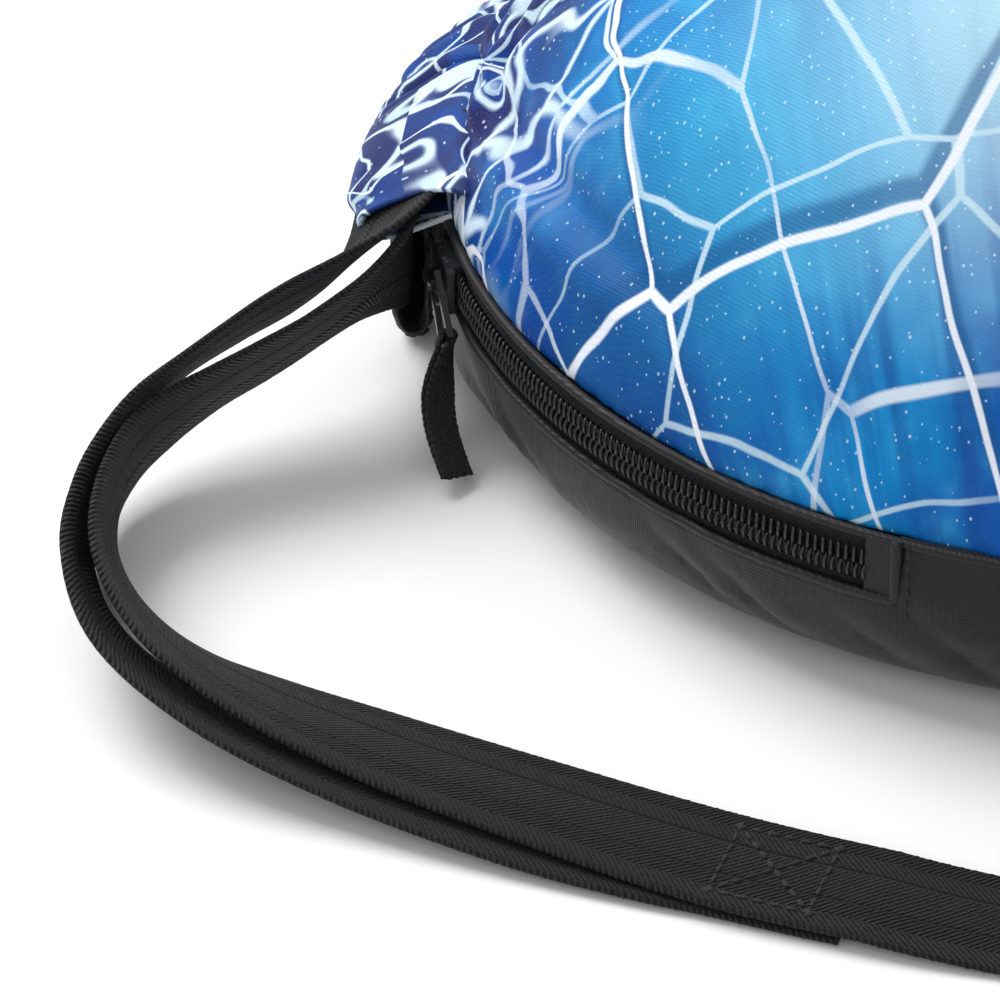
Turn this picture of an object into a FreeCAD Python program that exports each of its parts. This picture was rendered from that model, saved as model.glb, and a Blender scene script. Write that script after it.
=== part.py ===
import FreeCAD, Part
import math
import os
from FreeCAD import Vector

# A soft drawstring carry bag for one bowling ball, lying on its black back.
# Frame: +Z up, +Y towards the mouth, +X to the bag's right, millimetres.
# The origin is on the floor, at the centre of the circle that the lower seam follows.

os.makedirs("parts", exist_ok=True)

# ---- the pouch -------------------------------------------------------------------------
seam_radius = 138.0        # the seam between the printed panel and the black shell
seam_height = 38.0
dome_height = 140.0        # top of the stuffed printed panel
wall_bulge = 1.5           # the black side wall stands this far outside the seam
bottom_round = 21.0        # radius of the rounded lower edge of the black shell
corner_y = -6.0            # the mouth's two corners lie on this line across the bag
mouth_ratio = 0.62         # the mouth half is this much shallower than a half circle
fabric = 1.2               # thickness of the outer cloth
padding = 6.5              # foam between the outer cloth and the lining
lining = 0.6
soft_gap = 0.3             # clearance between soft pieces that lie on each other

# ---- the mouth casings, as radius and height of the casing's outer face ------------------
casing_depth = 6.5         # thickness of the flattened tube
casing_wall = 0.8
hem_wall = 1.5             # the turned and stitched ends are thicker
hem_sweep = 9.0            # degrees of the mouth arc taken by each end hem
front_casing_corner = ((133.2, 51.5), (155.5, 33.5))
front_casing_back = ((127.0, 67.0), (148.5, 49.0))
back_casing_corner = ((147.0, 1.5), (147.0, 29.5))
back_casing_back = ((131.0, 7.0), (149.0, 30.0))
base_disc = 70.0           # flat round middle of the base
back_shell_edge = 6.0      # the black shell ends at this height along the mouth

# ---- webbing -------------------------------------------------------------------------------
web_width = 25.0
web_thick = 1.5
web_pitch = web_thick + soft_gap
pivot_y = -24.0            # the straps turn about a line across both mouth corners
pivot_z = 22.0
lap_x = 146.0              # inner face plane of the first layer at the lap
lap_reach = 4.0            # the layers pass each other by this much at the pivot
raw_end_x = 66.0           # the short webbing stops here, each side of the middle
box_stitch_x = 79.0
box_stitch_size = 18.0
thread = 0.6

# ---- the zip pocket in the side wall ---------------------------------------------------------
zip_height = 31.0          # height of the line where the two coils meet
zip_start = -170.2         # degrees round the bag, left end of the chain
zip_end = -116.6
window_low = 25.0
window_start = -172.5
window_end = -114.0
tape_thick = 0.6
coil_row = 2.3             # each coil's width
coil_thick = 2.0
part_gap = 0.7             # half the gap between the coils, where the slider's post runs
slider_angle = -166.4
slider_length = 12.0
slider_width = 10.0
plate = 1.4
tab_droop = 40.0           # the pull tab hangs this many degrees below the zip's line
tab_length = 13.0
tab_thick = 1.2
pull_width = 7.0
pull_thick = 2.2
pull_length = 23.0
pocket_depth = 3.0

# ---- derived sizes ------------------------------------------------------------------------------
wall_radius = seam_radius + wall_bulge
dome_rise = dome_height - seam_height
sphere = (dome_rise ** 2 + seam_radius ** 2) / (2 * dome_rise)
sphere_z = dome_height - sphere
padding_at = fabric + soft_gap
lining_at = padding_at + padding + soft_gap
Z = Vector(0, 0, 1)


def save(shape, node):
    """Write one node and say what it is."""
    box = shape.BoundBox
    print("%-24s solids %2d valid %s vol %9.0f  z %.1f..%.1f" % (
        node, len(shape.Solids), shape.isValid(), shape.Volume, box.ZMin, box.ZMax))
    shape.exportStep("parts/" + node + ".step")


def ring_part(r1, r2, z1, z2, start, end):
    """A piece of a square-sectioned ring about the bag's centre, from start to end degrees."""
    ring = Part.makeCylinder(r2, z2 - z1, Vector(0, 0, z1), Z, end - start)
    ring = ring.cut(Part.makeCylinder(r1, z2 - z1, Vector(0, 0, z1), Z, 360))
    ring.rotate(Vector(0, 0, 0), Z, start)
    return ring


def half_space(y1, y2, z1=-10.0, z2=400.0):
    return Part.makeBox(600, y2 - y1, z2 - z1, Vector(-300, y1, z1))


def mouth_half(shape):
    """The half behind the corners: the round form, made shallower towards the mouth."""
    shape.translate(Vector(0, -corner_y, 0))
    flat = FreeCAD.Matrix()
    flat.A22 = mouth_ratio
    back = shape.transformGeometry(flat).common(half_space(0, 300))
    back.translate(Vector(0, corner_y, 0))
    return back


def section_radius(radius):
    """Half the width, at the corners' line, of a circle of this radius about the centre."""
    return math.sqrt(radius ** 2 - corner_y ** 2)


def turned(points):
    """A solid turned about Z from a closed outline; an item of three numbers is an arc."""
    edges = []
    here = Vector(points[0][0], 0, points[0][1])
    for step in points[1:]:
        there = Vector(step[0], 0, step[1])
        if len(step) == 2:
            edges.append(Part.makeLine(here, there))
        else:
            middle = Vector(step[2], 0, step[3])
            edges.append(Part.Arc(here, middle, there).toShape())
        here = there
    return Part.Face(Part.Wire(edges)).revolve(Vector(0, 0, 0), Z, 360)


def dome_solid(inset, foot, shift):
    """The ball under the panel, less an inset, above a height; shift 1 is the mouth half's."""
    radius = sphere - inset
    if shift:
        radius = section_radius(radius)
    reach = math.sqrt(radius ** 2 - (foot - sphere_z) ** 2)
    top = sphere_z + radius
    turn = 0.5 * math.atan2(reach, foot - sphere_z)
    mid_r = radius * math.sin(turn)
    mid_z = sphere_z + radius * math.cos(turn)
    return turned([(0, foot), (reach, foot), (0, top, mid_r, mid_z), (0, foot)])


def dome_shell(outer, inner, front_foot, back_foot):
    """One layer of the domed front: round below, cut back to the casing at the mouth."""
    low = -40.0
    front = dome_solid(outer, low, 0).cut(dome_solid(inner, low - 1, 0))
    front = front.common(half_space(-300, corner_y, front_foot))
    back = mouth_half(dome_solid(outer, low, 1).cut(dome_solid(inner, low - 1, 1)))
    rise = front_casing_back[0][1] - front_casing_corner[0][1]
    run = mouth_ratio * front_casing_back[0][0]
    above = half_space(corner_y, 300, back_foot)
    above.rotate(Vector(0, corner_y, back_foot), Vector(1, 0, 0), math.degrees(math.atan2(rise, run)))
    return front.fuse(back.common(above)).removeSplitter()


def tray_solid(inset, top, shift):
    """The black shell's outer form, less an inset, up to a height."""
    radius = wall_radius
    if shift:
        radius = section_radius(wall_radius)
    flat = radius - bottom_round
    curve = bottom_round - inset
    side = flat + curve
    floor = inset
    rim = min(top, bottom_round)
    swing = math.acos((bottom_round - rim) / curve)
    rim_r = flat + curve * math.sin(swing)
    mid = (flat + curve * math.sin(swing / 2), bottom_round - curve * math.cos(swing / 2))
    outline = [(0, floor), (flat, floor), (rim_r, rim, mid[0], mid[1])]
    if top > bottom_round:
        outline += [(side, top)]
    outline += [(0, top), (0, floor)]
    return turned(outline)


def tray_shell(outer, inner, front_top, back_top):
    """One layer of the black lower shell: a wall below the seam, a low edge at the mouth."""
    front = tray_solid(outer, front_top, 0).cut(tray_solid(inner, front_top + 1, 0))
    front = front.common(half_space(-300, corner_y))
    back = tray_solid(outer, back_top, 1).cut(tray_solid(inner, back_top + 1, 1))
    return front.fuse(mouth_half(back)).removeSplitter()


def casing_frame(corner, back, degrees):
    """Corner points of a casing's outer face at an angle round the mouth."""
    share = math.sin(math.radians(degrees)) ** 0.8
    ends = []
    for low, high in zip(corner, back):
        ends.append((low[0] + (high[0] - low[0]) * share, low[1] + (high[1] - low[1]) * share))
    return ends


def casing_section(corner, back, degrees, margin, top, bottom):
    """A closed rectangle across a casing: margin in from its ends, between two depths.

    A margin of None leaves the webbing's width in the middle.
    """
    (r1, z1), (r2, z2) = casing_frame(corner, back, degrees)
    length = math.hypot(r2 - r1, z2 - z1)
    if margin is None:
        margin = (length - web_width) / 2
    u = ((r2 - r1) / length, (z2 - z1) / length)
    inward = (u[1], -u[0]) if u[1] < 0 else (-u[1], u[0])
    a = math.radians(degrees)
    points = []
    for along, deep in ((margin, top), (length - margin, top), (length - margin, bottom), (margin, bottom)):
        radius = r1 + u[0] * along + inward[0] * deep
        height = z1 + u[1] * along + inward[1] * deep
        points.append(Vector(radius * math.cos(a), corner_y + mouth_ratio * radius * math.sin(a), height))
    points.append(points[0])
    return Part.makePolygon(points)


def casing_loft(corner, back, start, end, margin, top, bottom):
    steps = max(1, round((end - start) / hem_sweep))
    angles = [start + (end - start) * i / steps for i in range(steps + 1)]
    wires = [casing_section(corner, back, a, margin, top, bottom) for a in angles]
    return Part.makeLoft(wires, True, True)


def casing_tube(corner, back, start, end, wall):
    skin = casing_loft(corner, back, start, end, casing_wall - wall, casing_wall - wall,
                       casing_depth - casing_wall + wall)
    hole = casing_loft(corner, back, start, end, casing_wall, casing_wall, casing_depth - casing_wall)
    return skin.cut(hole)


def casing_web(corner, back):
    """The webbing inside a casing, lying against the casing's outer face."""
    top = casing_wall + soft_gap
    return casing_loft(corner, back, 0, 180, None, top, top + web_thick)


def casing_room(corner, back):
    """The space that a casing and its hems fill, with the soft clearance round it."""
    spare = hem_wall - casing_wall + soft_gap
    return casing_loft(corner, back, 0, 180, -spare, -spare, casing_depth + spare)


# ---- straps: flat webbing along a route on the floor ---------------------------------------------
def ribbon(stations, width, thick):
    """A flat band through stations of (centre, width direction, thickness direction)."""
    wires = []
    for centre, wide, deep in stations:
        w = wide * (width / 2)
        d = deep * (thick / 2)
        corners = [centre - w - d, centre + w - d, centre + w + d, centre - w + d]
        wires.append(Part.makePolygon(corners + [corners[0]]))
    return Part.makeLoft(wires, True, True)


# the four layers at the lap, counted outwards from the bag, and the long webbing's own layer
lap_planes = [lap_x + web_thick / 2 + i * web_pitch for i in range(4)]
lap = lap_planes[2]
corner_lift = pivot_z - web_width / 2

# route of the long webbing, left corner to right: x, y, lean in degrees (90 stands on edge,
# 0 lies flat) and how far its lower edge is lifted off the floor
strap_route = [
    (-lap, pivot_y, 90, corner_lift), (-151.2, -29.5, 90, 9.3), (-157.5, -34.5, 90, 8.6),
    (-169.0, -37.0, 90, 6.0), (-181.0, -42.0, 90, 3.0), (-190.5, -54.0, 90, 0.8),
    (-197.0, -70.0, 90, 0.2), (-200.0, -90.0, 82, 0.2), (-197.0, -108.0, 62, 0.2),
    (-186.0, -123.0, 40, 0.2), (-170.0, -133.5, 24, 0.2), (-148.0, -143.5, 12, 0.2),
    (-120.0, -157.0, 5, 0.2), (-88.0, -172.0, 0, 0.2), (-66.0, -180.0, 0, 0.2),
    (-43.0, -187.0, 0, 0.2), (0.0, -196.0, 0, 0.2), (43.0, -199.0, 0, 0.2),
    (66.0, -198.0, 0, 0.2), (92.0, -194.5, 0, 0.2), (124.0, -186.0, 5, 0.2),
    (154.0, -171.5, 14, 0.2), (178.0, -151.0, 30, 0.2), (194.0, -126.0, 55, 0.2),
    (200.0, -98.0, 80, 0.2), (197.0, -72.0, 90, 0.2), (190.5, -54.0, 90, 0.8),
    (181.0, -42.0, 90, 3.0), (169.0, -37.0, 90, 6.0), (157.5, -34.5, 90, 8.6),
    (151.2, -29.5, 90, 9.3), (lap, pivot_y, 90, corner_lift)]


def blend_values(values, share):
    place = share * (len(values) - 1)
    i = min(int(place), len(values) - 2)
    return values[i] + (values[i + 1] - values[i]) * (place - i)


def route_step(knots, slopes, place):
    """Point and forward direction of the smooth route at a place counted in knots."""
    i = min(int(place), len(knots) - 2)
    t = place - i
    a, b, c, d = knots[i], knots[i + 1], slopes[i], slopes[i + 1]
    point = a + (b - a) * (t * t * (3 - 2 * t)) + c * (t * (1 - t) * (1 - t)) - d * (t * t * (1 - t))
    ahead = (b - a) * (6 * t * (1 - t)) + c * (1 - 4 * t + 3 * t * t) + d * (3 * t * t - 2 * t)
    return point, ahead.normalize()


def strap_stations(count):
    """Steps along the route: centre, width and thickness directions of the long webbing."""
    knots = [Vector(x, y, 0) for x, y, lean, lift in strap_route]
    slopes = [(after - before) * 0.5 for before, after in zip(knots, knots[2:])]
    slopes = [Vector(0, -5, 0)] + slopes + [Vector(0, 5, 0)]
    last = len(knots) - 1
    found = []
    for i in range(count + 1):
        place = last * i / count
        point, ahead = route_step(knots, slopes, place)
        outward = Vector(ahead.y, -ahead.x, 0)
        lean = math.radians(blend_values([p[2] for p in strap_route], place / last))
        lift = blend_values([p[3] for p in strap_route], place / last)
        wide = outward * math.cos(lean) + Z * math.sin(lean)
        deep = outward * math.sin(lean) - Z * math.cos(lean)
        height = lift + web_width / 2 * math.sin(lean) + web_thick / 2 * math.cos(lean)
        if abs(point.x) > raw_end_x - 25:
            under = min(1.0, (abs(point.x) - raw_end_x + 25) / 20)
            height += under * web_pitch * math.cos(lean)
        found.append((Vector(point.x, point.y, height), wide, deep))
    return found


def lap_plate(x, front):
    """The round end of a webbing at the corner, in the plane x, on one side of the pivot."""
    plate_end = Part.makeCylinder(web_width / 2, web_thick, Vector(x - web_thick / 2, pivot_y, pivot_z),
                                  Vector(1, 0, 0), 360)
    keep = half_space(pivot_y - lap_reach, pivot_y) if front else half_space(pivot_y, pivot_y + lap_reach)
    return plate_end.common(keep)


def flip(shape):
    return shape.mirror(Vector(0, 0, 0), Vector(1, 0, 0))


stations = strap_stations(150)


def long_web():
    band = ribbon(stations, web_width, web_thick)
    ends = lap_plate(stations[0][0].x, False)
    return band.fuse([ends, flip(ends)]).removeSplitter()


def short_web(side):
    """The second layer, under and outside the long webbing, from a corner to its raw end."""
    under = []
    for centre, wide, deep in stations[::-side]:
        if centre.x * side > raw_end_x - 2:
            under.append([Vector(-side * v.x, v.y, v.z) for v in (centre + deep * web_pitch, wide, deep)])
    band = ribbon(under, web_width, web_thick)
    leg = band.fuse(lap_plate(under[0][0].x, False)).removeSplitter()
    return leg if side < 0 else flip(leg)


def box_stitch(side):
    """A square with a cross, sewn through both layers near the raw end."""
    near = min(stations, key=lambda s: abs(s[0].x - side * box_stitch_x))
    centre, wide, deep = near
    along = wide.cross(deep)
    half = box_stitch_size / 2
    rise = deep * -(web_thick / 2 + 0.05)
    corners = [centre + along * (half * i) + wide * (half * j) + rise
               for i, j in ((-1, -1), (1, -1), (1, 1), (-1, 1))]
    rows = [(0, 1), (1, 2), (2, 3), (3, 0), (0, 2), (1, 3)]
    bars = []
    for i, j in rows:
        step = corners[j] - corners[i]
        bar = Part.makeBox(step.Length + thread, thread, thread / 2, Vector(-thread / 2, -thread / 2, 0))
        turn = math.degrees(math.atan2(step.y, step.x))
        bar.rotate(Vector(0, 0, 0), Z, turn)
        bar.translate(corners[i])
        bars.append(bar)
    return bars[0].fuse(bars[1:]).removeSplitter()


def web_stub(corner, back, plane):
    """Fixed webbing from a casing's left end to the lap at the corner."""
    (r1, z1), (r2, z2) = casing_frame(corner, back, 0)
    length = math.hypot(r2 - r1, z2 - z1)
    u = ((r2 - r1) / length, (z2 - z1) / length)
    inward = (u[1], -u[0]) if u[1] < 0 else (-u[1], u[0])
    deep = casing_wall + soft_gap + web_thick / 2
    mid_r = r1 + u[0] * length / 2 + inward[0] * deep
    mid_z = z1 + u[1] * length / 2 + inward[1] * deep
    up = (u[0], u[1]) if u[1] > 0 else (-u[0], -u[1])
    found = []
    steps = 6
    for i in range(steps + 1):
        share = i / steps
        ease = share * share * (3 - 2 * share)
        early = min(1.0, share * 3)
        lean = math.atan2(up[1], -up[0]) * (1 - early) + math.pi / 2 * early
        wide = Vector(math.cos(lean), 0, math.sin(lean))
        thin = Vector(math.sin(lean), 0, -math.cos(lean))
        x = -mid_r * (1 - early) - plane * early
        z = mid_z * (1 - ease) + pivot_z * ease
        found.append((Vector(x, corner_y + (pivot_y - corner_y) * share, z), wide, thin))
    return ribbon(found, web_width, web_thick).fuse(lap_plate(-plane, True)).removeSplitter()


# ---- nodes: the sewn shells -------------------------------------------------------------------------
rooms = [casing_room(front_casing_corner, front_casing_back),
         casing_room(back_casing_corner, back_casing_back)]
front_foot = seam_height + soft_gap
mouth_foot = front_casing_corner[0][1] + soft_gap

window = ring_part(wall_radius - 5, wall_radius + 5, window_low, seam_height + 5, window_start, window_end)
tray = tray_shell(0, fabric, seam_height, back_shell_edge)
floor_disc = Part.makeCylinder(base_disc, fabric)
tray = tray.cut([window, floor_disc] + rooms).fuse(floor_disc).removeSplitter()
save(tray, "back_shell")
corner_room = Part.makeBox(23, 6, 25, Vector(131, corner_y - 4, 27))
panel = dome_shell(0, fabric, front_foot, mouth_foot)
save(panel.cut(rooms + [corner_room, flip(corner_room)]), "front_panel")

# the foam leaves a recess behind the zip for the pocket
pocket_low = 10.0
pocket_top = seam_height - 2
pocket_out = wall_radius - fabric - tape_thick - plate - 1.8
pocket_in = pocket_out - pocket_depth
recess = ring_part(pocket_in - soft_gap, wall_radius, pocket_low - soft_gap, seam_height + 5,
                   window_start - 1.5, window_end + 1.5)
foam = tray_shell(padding_at, padding_at + padding, seam_height, back_shell_edge + 3)
save(foam.cut([recess] + rooms), "base_padding")
foam = dome_shell(padding_at, padding_at + padding, front_foot, mouth_foot)
save(foam.cut(rooms), "front_padding")

save(tray_shell(lining_at, lining_at + lining, seam_height, back_shell_edge + 4).cut(rooms), "base_lining")
save(dome_shell(lining_at, lining_at + lining, front_foot, mouth_foot).cut(rooms), "front_lining")

pouch = ring_part(pocket_in, pocket_out, pocket_low, pocket_top, window_start, window_end)
pouch_room = ring_part(pocket_in + lining, pocket_out - lining, pocket_low + lining,
                       pocket_top - lining, window_start + 0.4, window_end - 0.4)
save(pouch.cut(pouch_room), "pocket_bag")

# ---- nodes: casings, their hems and the webbing inside ------------------------------------------------
for name, corner, back in (("front", front_casing_corner, front_casing_back),
                           ("back", back_casing_corner, back_casing_back)):
    save(casing_tube(corner, back, hem_sweep, 180 - hem_sweep, casing_wall), name + "_casing")
    left = casing_tube(corner, back, 180 - hem_sweep + 0.2, 180, hem_wall)
    right = casing_tube(corner, back, 0, hem_sweep - 0.2, hem_wall)
    save(Part.makeCompound([left, right]), name + "_casing_hems")
    stub_plane = lap_planes[1] if name == "front" else lap_planes[0]
    stub = web_stub(corner, back, stub_plane)
    save(casing_web(corner, back).fuse([stub, flip(stub)]).removeSplitter(), name + "_casing_webbing")

# ---- nodes: the carry strap -------------------------------------------------------------------------------
save(long_web(), "carry_strap")
save(short_web(-1), "strap_leg_left")
save(short_web(1), "strap_leg_right")
save(Part.makeCompound([box_stitch(-1), box_stitch(1)]), "box_stitches")

# ---- nodes: the zip ---------------------------------------------------------------------------------------
tape_out = wall_radius - fabric - soft_gap - 0.2
tape_in = tape_out - tape_thick
coil_in = tape_out + 0.1
coil_out = coil_in + coil_thick
row_far = part_gap + coil_row
save(ring_part(tape_in, tape_out, zip_height + part_gap, seam_height - soft_gap,
               window_start + 0.3, window_end - 0.3), "zip_tape_upper")
save(ring_part(tape_in, tape_out, zip_height - 14, zip_height - part_gap,
               window_start + 0.3, window_end - 0.3), "zip_tape_lower")
save(ring_part(coil_in, coil_out, zip_height + part_gap, zip_height + row_far,
               zip_start + 0.6, zip_end), "zip_coil_upper")
save(ring_part(coil_in, coil_out, zip_height - row_far, zip_height - part_gap,
               zip_start + 0.6, zip_end), "zip_coil_lower")
stops = [ring_part(coil_in, coil_in + 1.2, zip_height + part_gap, zip_height + row_far,
                   zip_start - 0.2, zip_start + 0.4),
         ring_part(coil_in, coil_in + 1.2, zip_height - row_far, zip_height - part_gap,
                   zip_start - 0.2, zip_start + 0.4)]
save(Part.makeCompound(stops), "zip_top_stops")
save(ring_part(tape_out + 0.1, wall_radius - 0.2, window_low + soft_gap, seam_height - soft_gap,
               zip_end + 0.2, window_end - 0.1), "zip_end_tab")

# the slider, built at the origin with X along the zip, Y outwards and Z up, then put in place
slider_out = coil_out + 0.4
slider_in = tape_in - 0.5 - plate
bridge_half = 2.6
bridge_wide = 1.8
bridge_inner = 2.1
tab_axis_out = slider_out + plate + bridge_inner / 2
length = slider_length
top_plate = Part.makeBox(length, plate, slider_width, Vector(-length / 2, slider_out, -slider_width / 2))
top_plate = top_plate.makeFillet(1.2, [e for e in top_plate.Edges if abs(e.tangentAt(0).y) > 0.9])
low_plate = Part.makeBox(length, plate, slider_width, Vector(-length / 2, slider_in, -slider_width / 2))
low_plate = low_plate.makeFillet(1.2, [e for e in low_plate.Edges if abs(e.tangentAt(0).y) > 0.9])
post = Part.makeBox(3, slider_out - slider_in, part_gap * 1.2,
                    Vector(length / 2 - 4, slider_in, -part_gap * 0.6))
flanges = []
for side in (-1, 1):
    low = row_far + 0.4 if side > 0 else -slider_width / 2
    high = slider_width / 2 if side > 0 else -row_far - 0.4
    flanges.append(Part.makeBox(length - 3, slider_out - tape_out - 0.4, high - low,
                                Vector(-length / 2 + 1.5, tape_out + 0.4, low)))
arch = Part.makeBox(2 * bridge_half, bridge_inner + 0.9, bridge_wide,
                    Vector(-bridge_half, slider_out + plate, -bridge_wide / 2))
arch = arch.makeFillet(0.8, [e for e in arch.Edges
                             if abs(e.tangentAt(0).z) > 0.9 and e.CenterOfMass.y > slider_out + plate + 1])
tunnel = Part.makeBox(2 * bridge_half - 1.2, bridge_inner, bridge_wide + 2,
                      Vector(-bridge_half + 0.6, slider_out + plate, -bridge_wide / 2 - 1))
slider = top_plate.fuse([low_plate, post, arch.cut(tunnel)] + flanges).removeSplitter()


def seat_on_zip(shape):
    """Turn a piece from the slider's own axes to its place on the side wall."""
    shape.translate(Vector(0, 0, zip_height))
    shape.rotate(Vector(0, 0, 0), Z, 180)
    shape.rotate(Vector(0, 0, 0), Z, slider_angle + 90)
    return shape


save(seat_on_zip(slider), "slider")

# the pull tab: a flat open frame that hangs from the bridge, its length along -X
bar = 0.6
narrow = 3.2
broad = pull_width / 2 + 1.1
rail = 1.2
outer = Part.makePolygon([Vector(bar, 0, -narrow - bar), Vector(-tab_length, 0, -broad - bar),
                          Vector(-tab_length, 0, broad + bar), Vector(bar, 0, narrow + bar),
                          Vector(bar, 0, -narrow - bar)])
inner = Part.makePolygon([Vector(-bar, 0, -narrow + bar), Vector(-tab_length + rail, 0, -broad + bar),
                          Vector(-tab_length + rail, 0, broad - bar), Vector(-bar, 0, narrow - bar),
                          Vector(-bar, 0, -narrow + bar)])
frame_face = Part.Face(Part.Wire(outer.Edges)).cut(Part.Face(Part.Wire(inner.Edges)))
tab = frame_face.extrude(Vector(0, tab_thick, 0))
tab.translate(Vector(0, -tab_thick / 2, 0))
hinge_bar = Part.makeCylinder(0.7, 2 * narrow, Vector(0, 0, -narrow), Z, 360)
tab = tab.fuse(hinge_bar).removeSplitter()


def hang_on_bridge(shape):
    """Droop a piece about the slider's outward axis, and move it to the bridge."""
    shape.rotate(Vector(0, 0, 0), Vector(0, 1, 0), -tab_droop)
    shape.translate(Vector(0, tab_axis_out, 0))
    return seat_on_zip(shape)


save(hang_on_bridge(tab), "pull_tab")

# the webbing pull: folded round the tab's far bar, then twisting as it hangs to the floor
far_bar = -tab_length + rail / 2
loop_in = 0.95
loop_out = loop_in + pull_thick / 2
swell = 2 * loop_out / pull_thick
pull_steps = 12
pull_bend = 20.0           # further droop of the soft pull below the tab's own
pull_twist = 60.0
across = Vector(0, -swell, 0)
pull_stations = [(Vector(far_bar + loop_out - 0.5, 0, 0), Z, across * 0.6),
                 (Vector(far_bar + loop_out - 1.3, 0, 0), Z, across),
                 (Vector(far_bar - loop_out + 1.3, 0, 0), Z, across)]
spot = Vector(far_bar - loop_out - 0.8, 0, 0)
for i in range(pull_steps + 1):
    share = i / pull_steps
    early = min(1.0, share * 2)
    droop = math.radians(pull_bend * early)
    twist = math.radians(pull_twist * early)
    ahead = Vector(-math.cos(droop), 0.1 * early, -math.sin(droop))
    upright = Vector(-math.sin(droop), 0, math.cos(droop))
    wide = upright * math.cos(twist) + Vector(0, 1, 0) * math.sin(twist)
    pull_stations.append((spot, wide, wide.cross(ahead).normalize()))
    spot = spot + ahead * (pull_length / pull_steps)
bar_room = Part.makeCylinder(loop_in, pull_width + 2, Vector(far_bar, 0, -pull_width / 2 - 1), Z, 360)
save(hang_on_bridge(ribbon(pull_stations, pull_width, pull_thick).cut(bar_room)), "webbing_pull")

travel = sum((b[0] - a[0]).Length for a, b in zip(stations, stations[1:]))
print("long webbing outside the bag %.0f mm" % travel)
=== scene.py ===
# %% [markdown]
# # A soft round ball bag
# This lesson builds the looks of a cloth bag round a frame that already has the true sizes.
# The frame gives one body for each piece that moves. Most pieces made here ride on one of them.

# %% Load the frame
import math

import bmesh
import bpy
import numpy as np
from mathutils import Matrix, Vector


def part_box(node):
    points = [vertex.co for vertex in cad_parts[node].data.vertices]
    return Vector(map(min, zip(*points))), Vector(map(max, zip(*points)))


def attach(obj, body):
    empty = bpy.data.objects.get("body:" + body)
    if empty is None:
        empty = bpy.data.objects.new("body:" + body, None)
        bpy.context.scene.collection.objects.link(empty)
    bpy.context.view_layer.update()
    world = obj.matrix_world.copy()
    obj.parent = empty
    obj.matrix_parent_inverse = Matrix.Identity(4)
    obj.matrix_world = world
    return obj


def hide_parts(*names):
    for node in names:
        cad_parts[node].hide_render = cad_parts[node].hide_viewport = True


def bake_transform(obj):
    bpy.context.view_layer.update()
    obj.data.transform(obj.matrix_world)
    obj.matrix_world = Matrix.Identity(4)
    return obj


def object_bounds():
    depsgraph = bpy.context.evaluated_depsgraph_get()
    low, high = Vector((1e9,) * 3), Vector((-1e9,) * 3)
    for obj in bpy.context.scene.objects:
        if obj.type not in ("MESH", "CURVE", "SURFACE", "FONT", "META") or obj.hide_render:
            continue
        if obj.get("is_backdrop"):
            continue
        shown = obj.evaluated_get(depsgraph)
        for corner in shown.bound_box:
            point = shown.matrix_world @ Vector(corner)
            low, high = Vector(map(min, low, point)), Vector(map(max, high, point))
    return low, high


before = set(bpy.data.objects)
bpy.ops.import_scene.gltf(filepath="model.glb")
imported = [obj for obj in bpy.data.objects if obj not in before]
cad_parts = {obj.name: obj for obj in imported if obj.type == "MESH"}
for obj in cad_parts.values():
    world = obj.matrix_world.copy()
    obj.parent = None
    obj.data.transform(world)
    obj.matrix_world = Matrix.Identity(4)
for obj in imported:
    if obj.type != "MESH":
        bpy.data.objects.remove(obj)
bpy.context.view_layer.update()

# %% [markdown]
# ## Sizes that the pieces share
# The panel is part of a ball, and the side wall is part of a drum under it. The mouth half is the
# same round form made shallower. All lengths below are in millimetres and turn into metres last.

# %% Shared sizes
MM = 0.001
BALL = 144.353            # radius of the domed front
BALL_Z = -4.353           # height of its centre
CORNER_Y = -6.0           # line through both ends of the mouth
MOUTH = 0.62              # how much shallower the mouth half is
SECTION = math.sqrt(BALL ** 2 - CORNER_Y ** 2)
HUB = np.array([0.0, CORNER_Y, BALL_Z])
WALL = 139.5
ROUND = 21.0              # rounding of the lower edge
SEAM_Z = 38.0
FABRIC = 1.2
WEB_WIDTH = 25.0
WEB_THICK = 1.5
WEB_PITCH = 1.8
ZIP_Z = 31.0
CORNER_RISE = 15.0        # length of edge over which the seam climbs to the mouth
FRONT_CASING = (((133.2, 51.5), (155.5, 33.5)), ((127.0, 67.0), (148.5, 49.0)))
BACK_CASING = (((147.0, 1.5), (147.0, 29.5)), ((131.0, 7.0), (149.0, 30.0)))
CASING_DEPTH = 6.5
HEM_SWEEP = 9.0

# %% [markdown]
# ## Meshes from grids
# Cloth is easiest to shape as a grid of points, with columns round the bag and rows up it. One
# helper turns such a grid into a mesh with its own flat pattern coordinates, so that a weave or a
# print can follow the cloth and not the room.

# %% Grid helper
def smooth(t):
    t = np.clip(t, 0, 1)
    return t * t * (3 - 2 * t)


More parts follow.
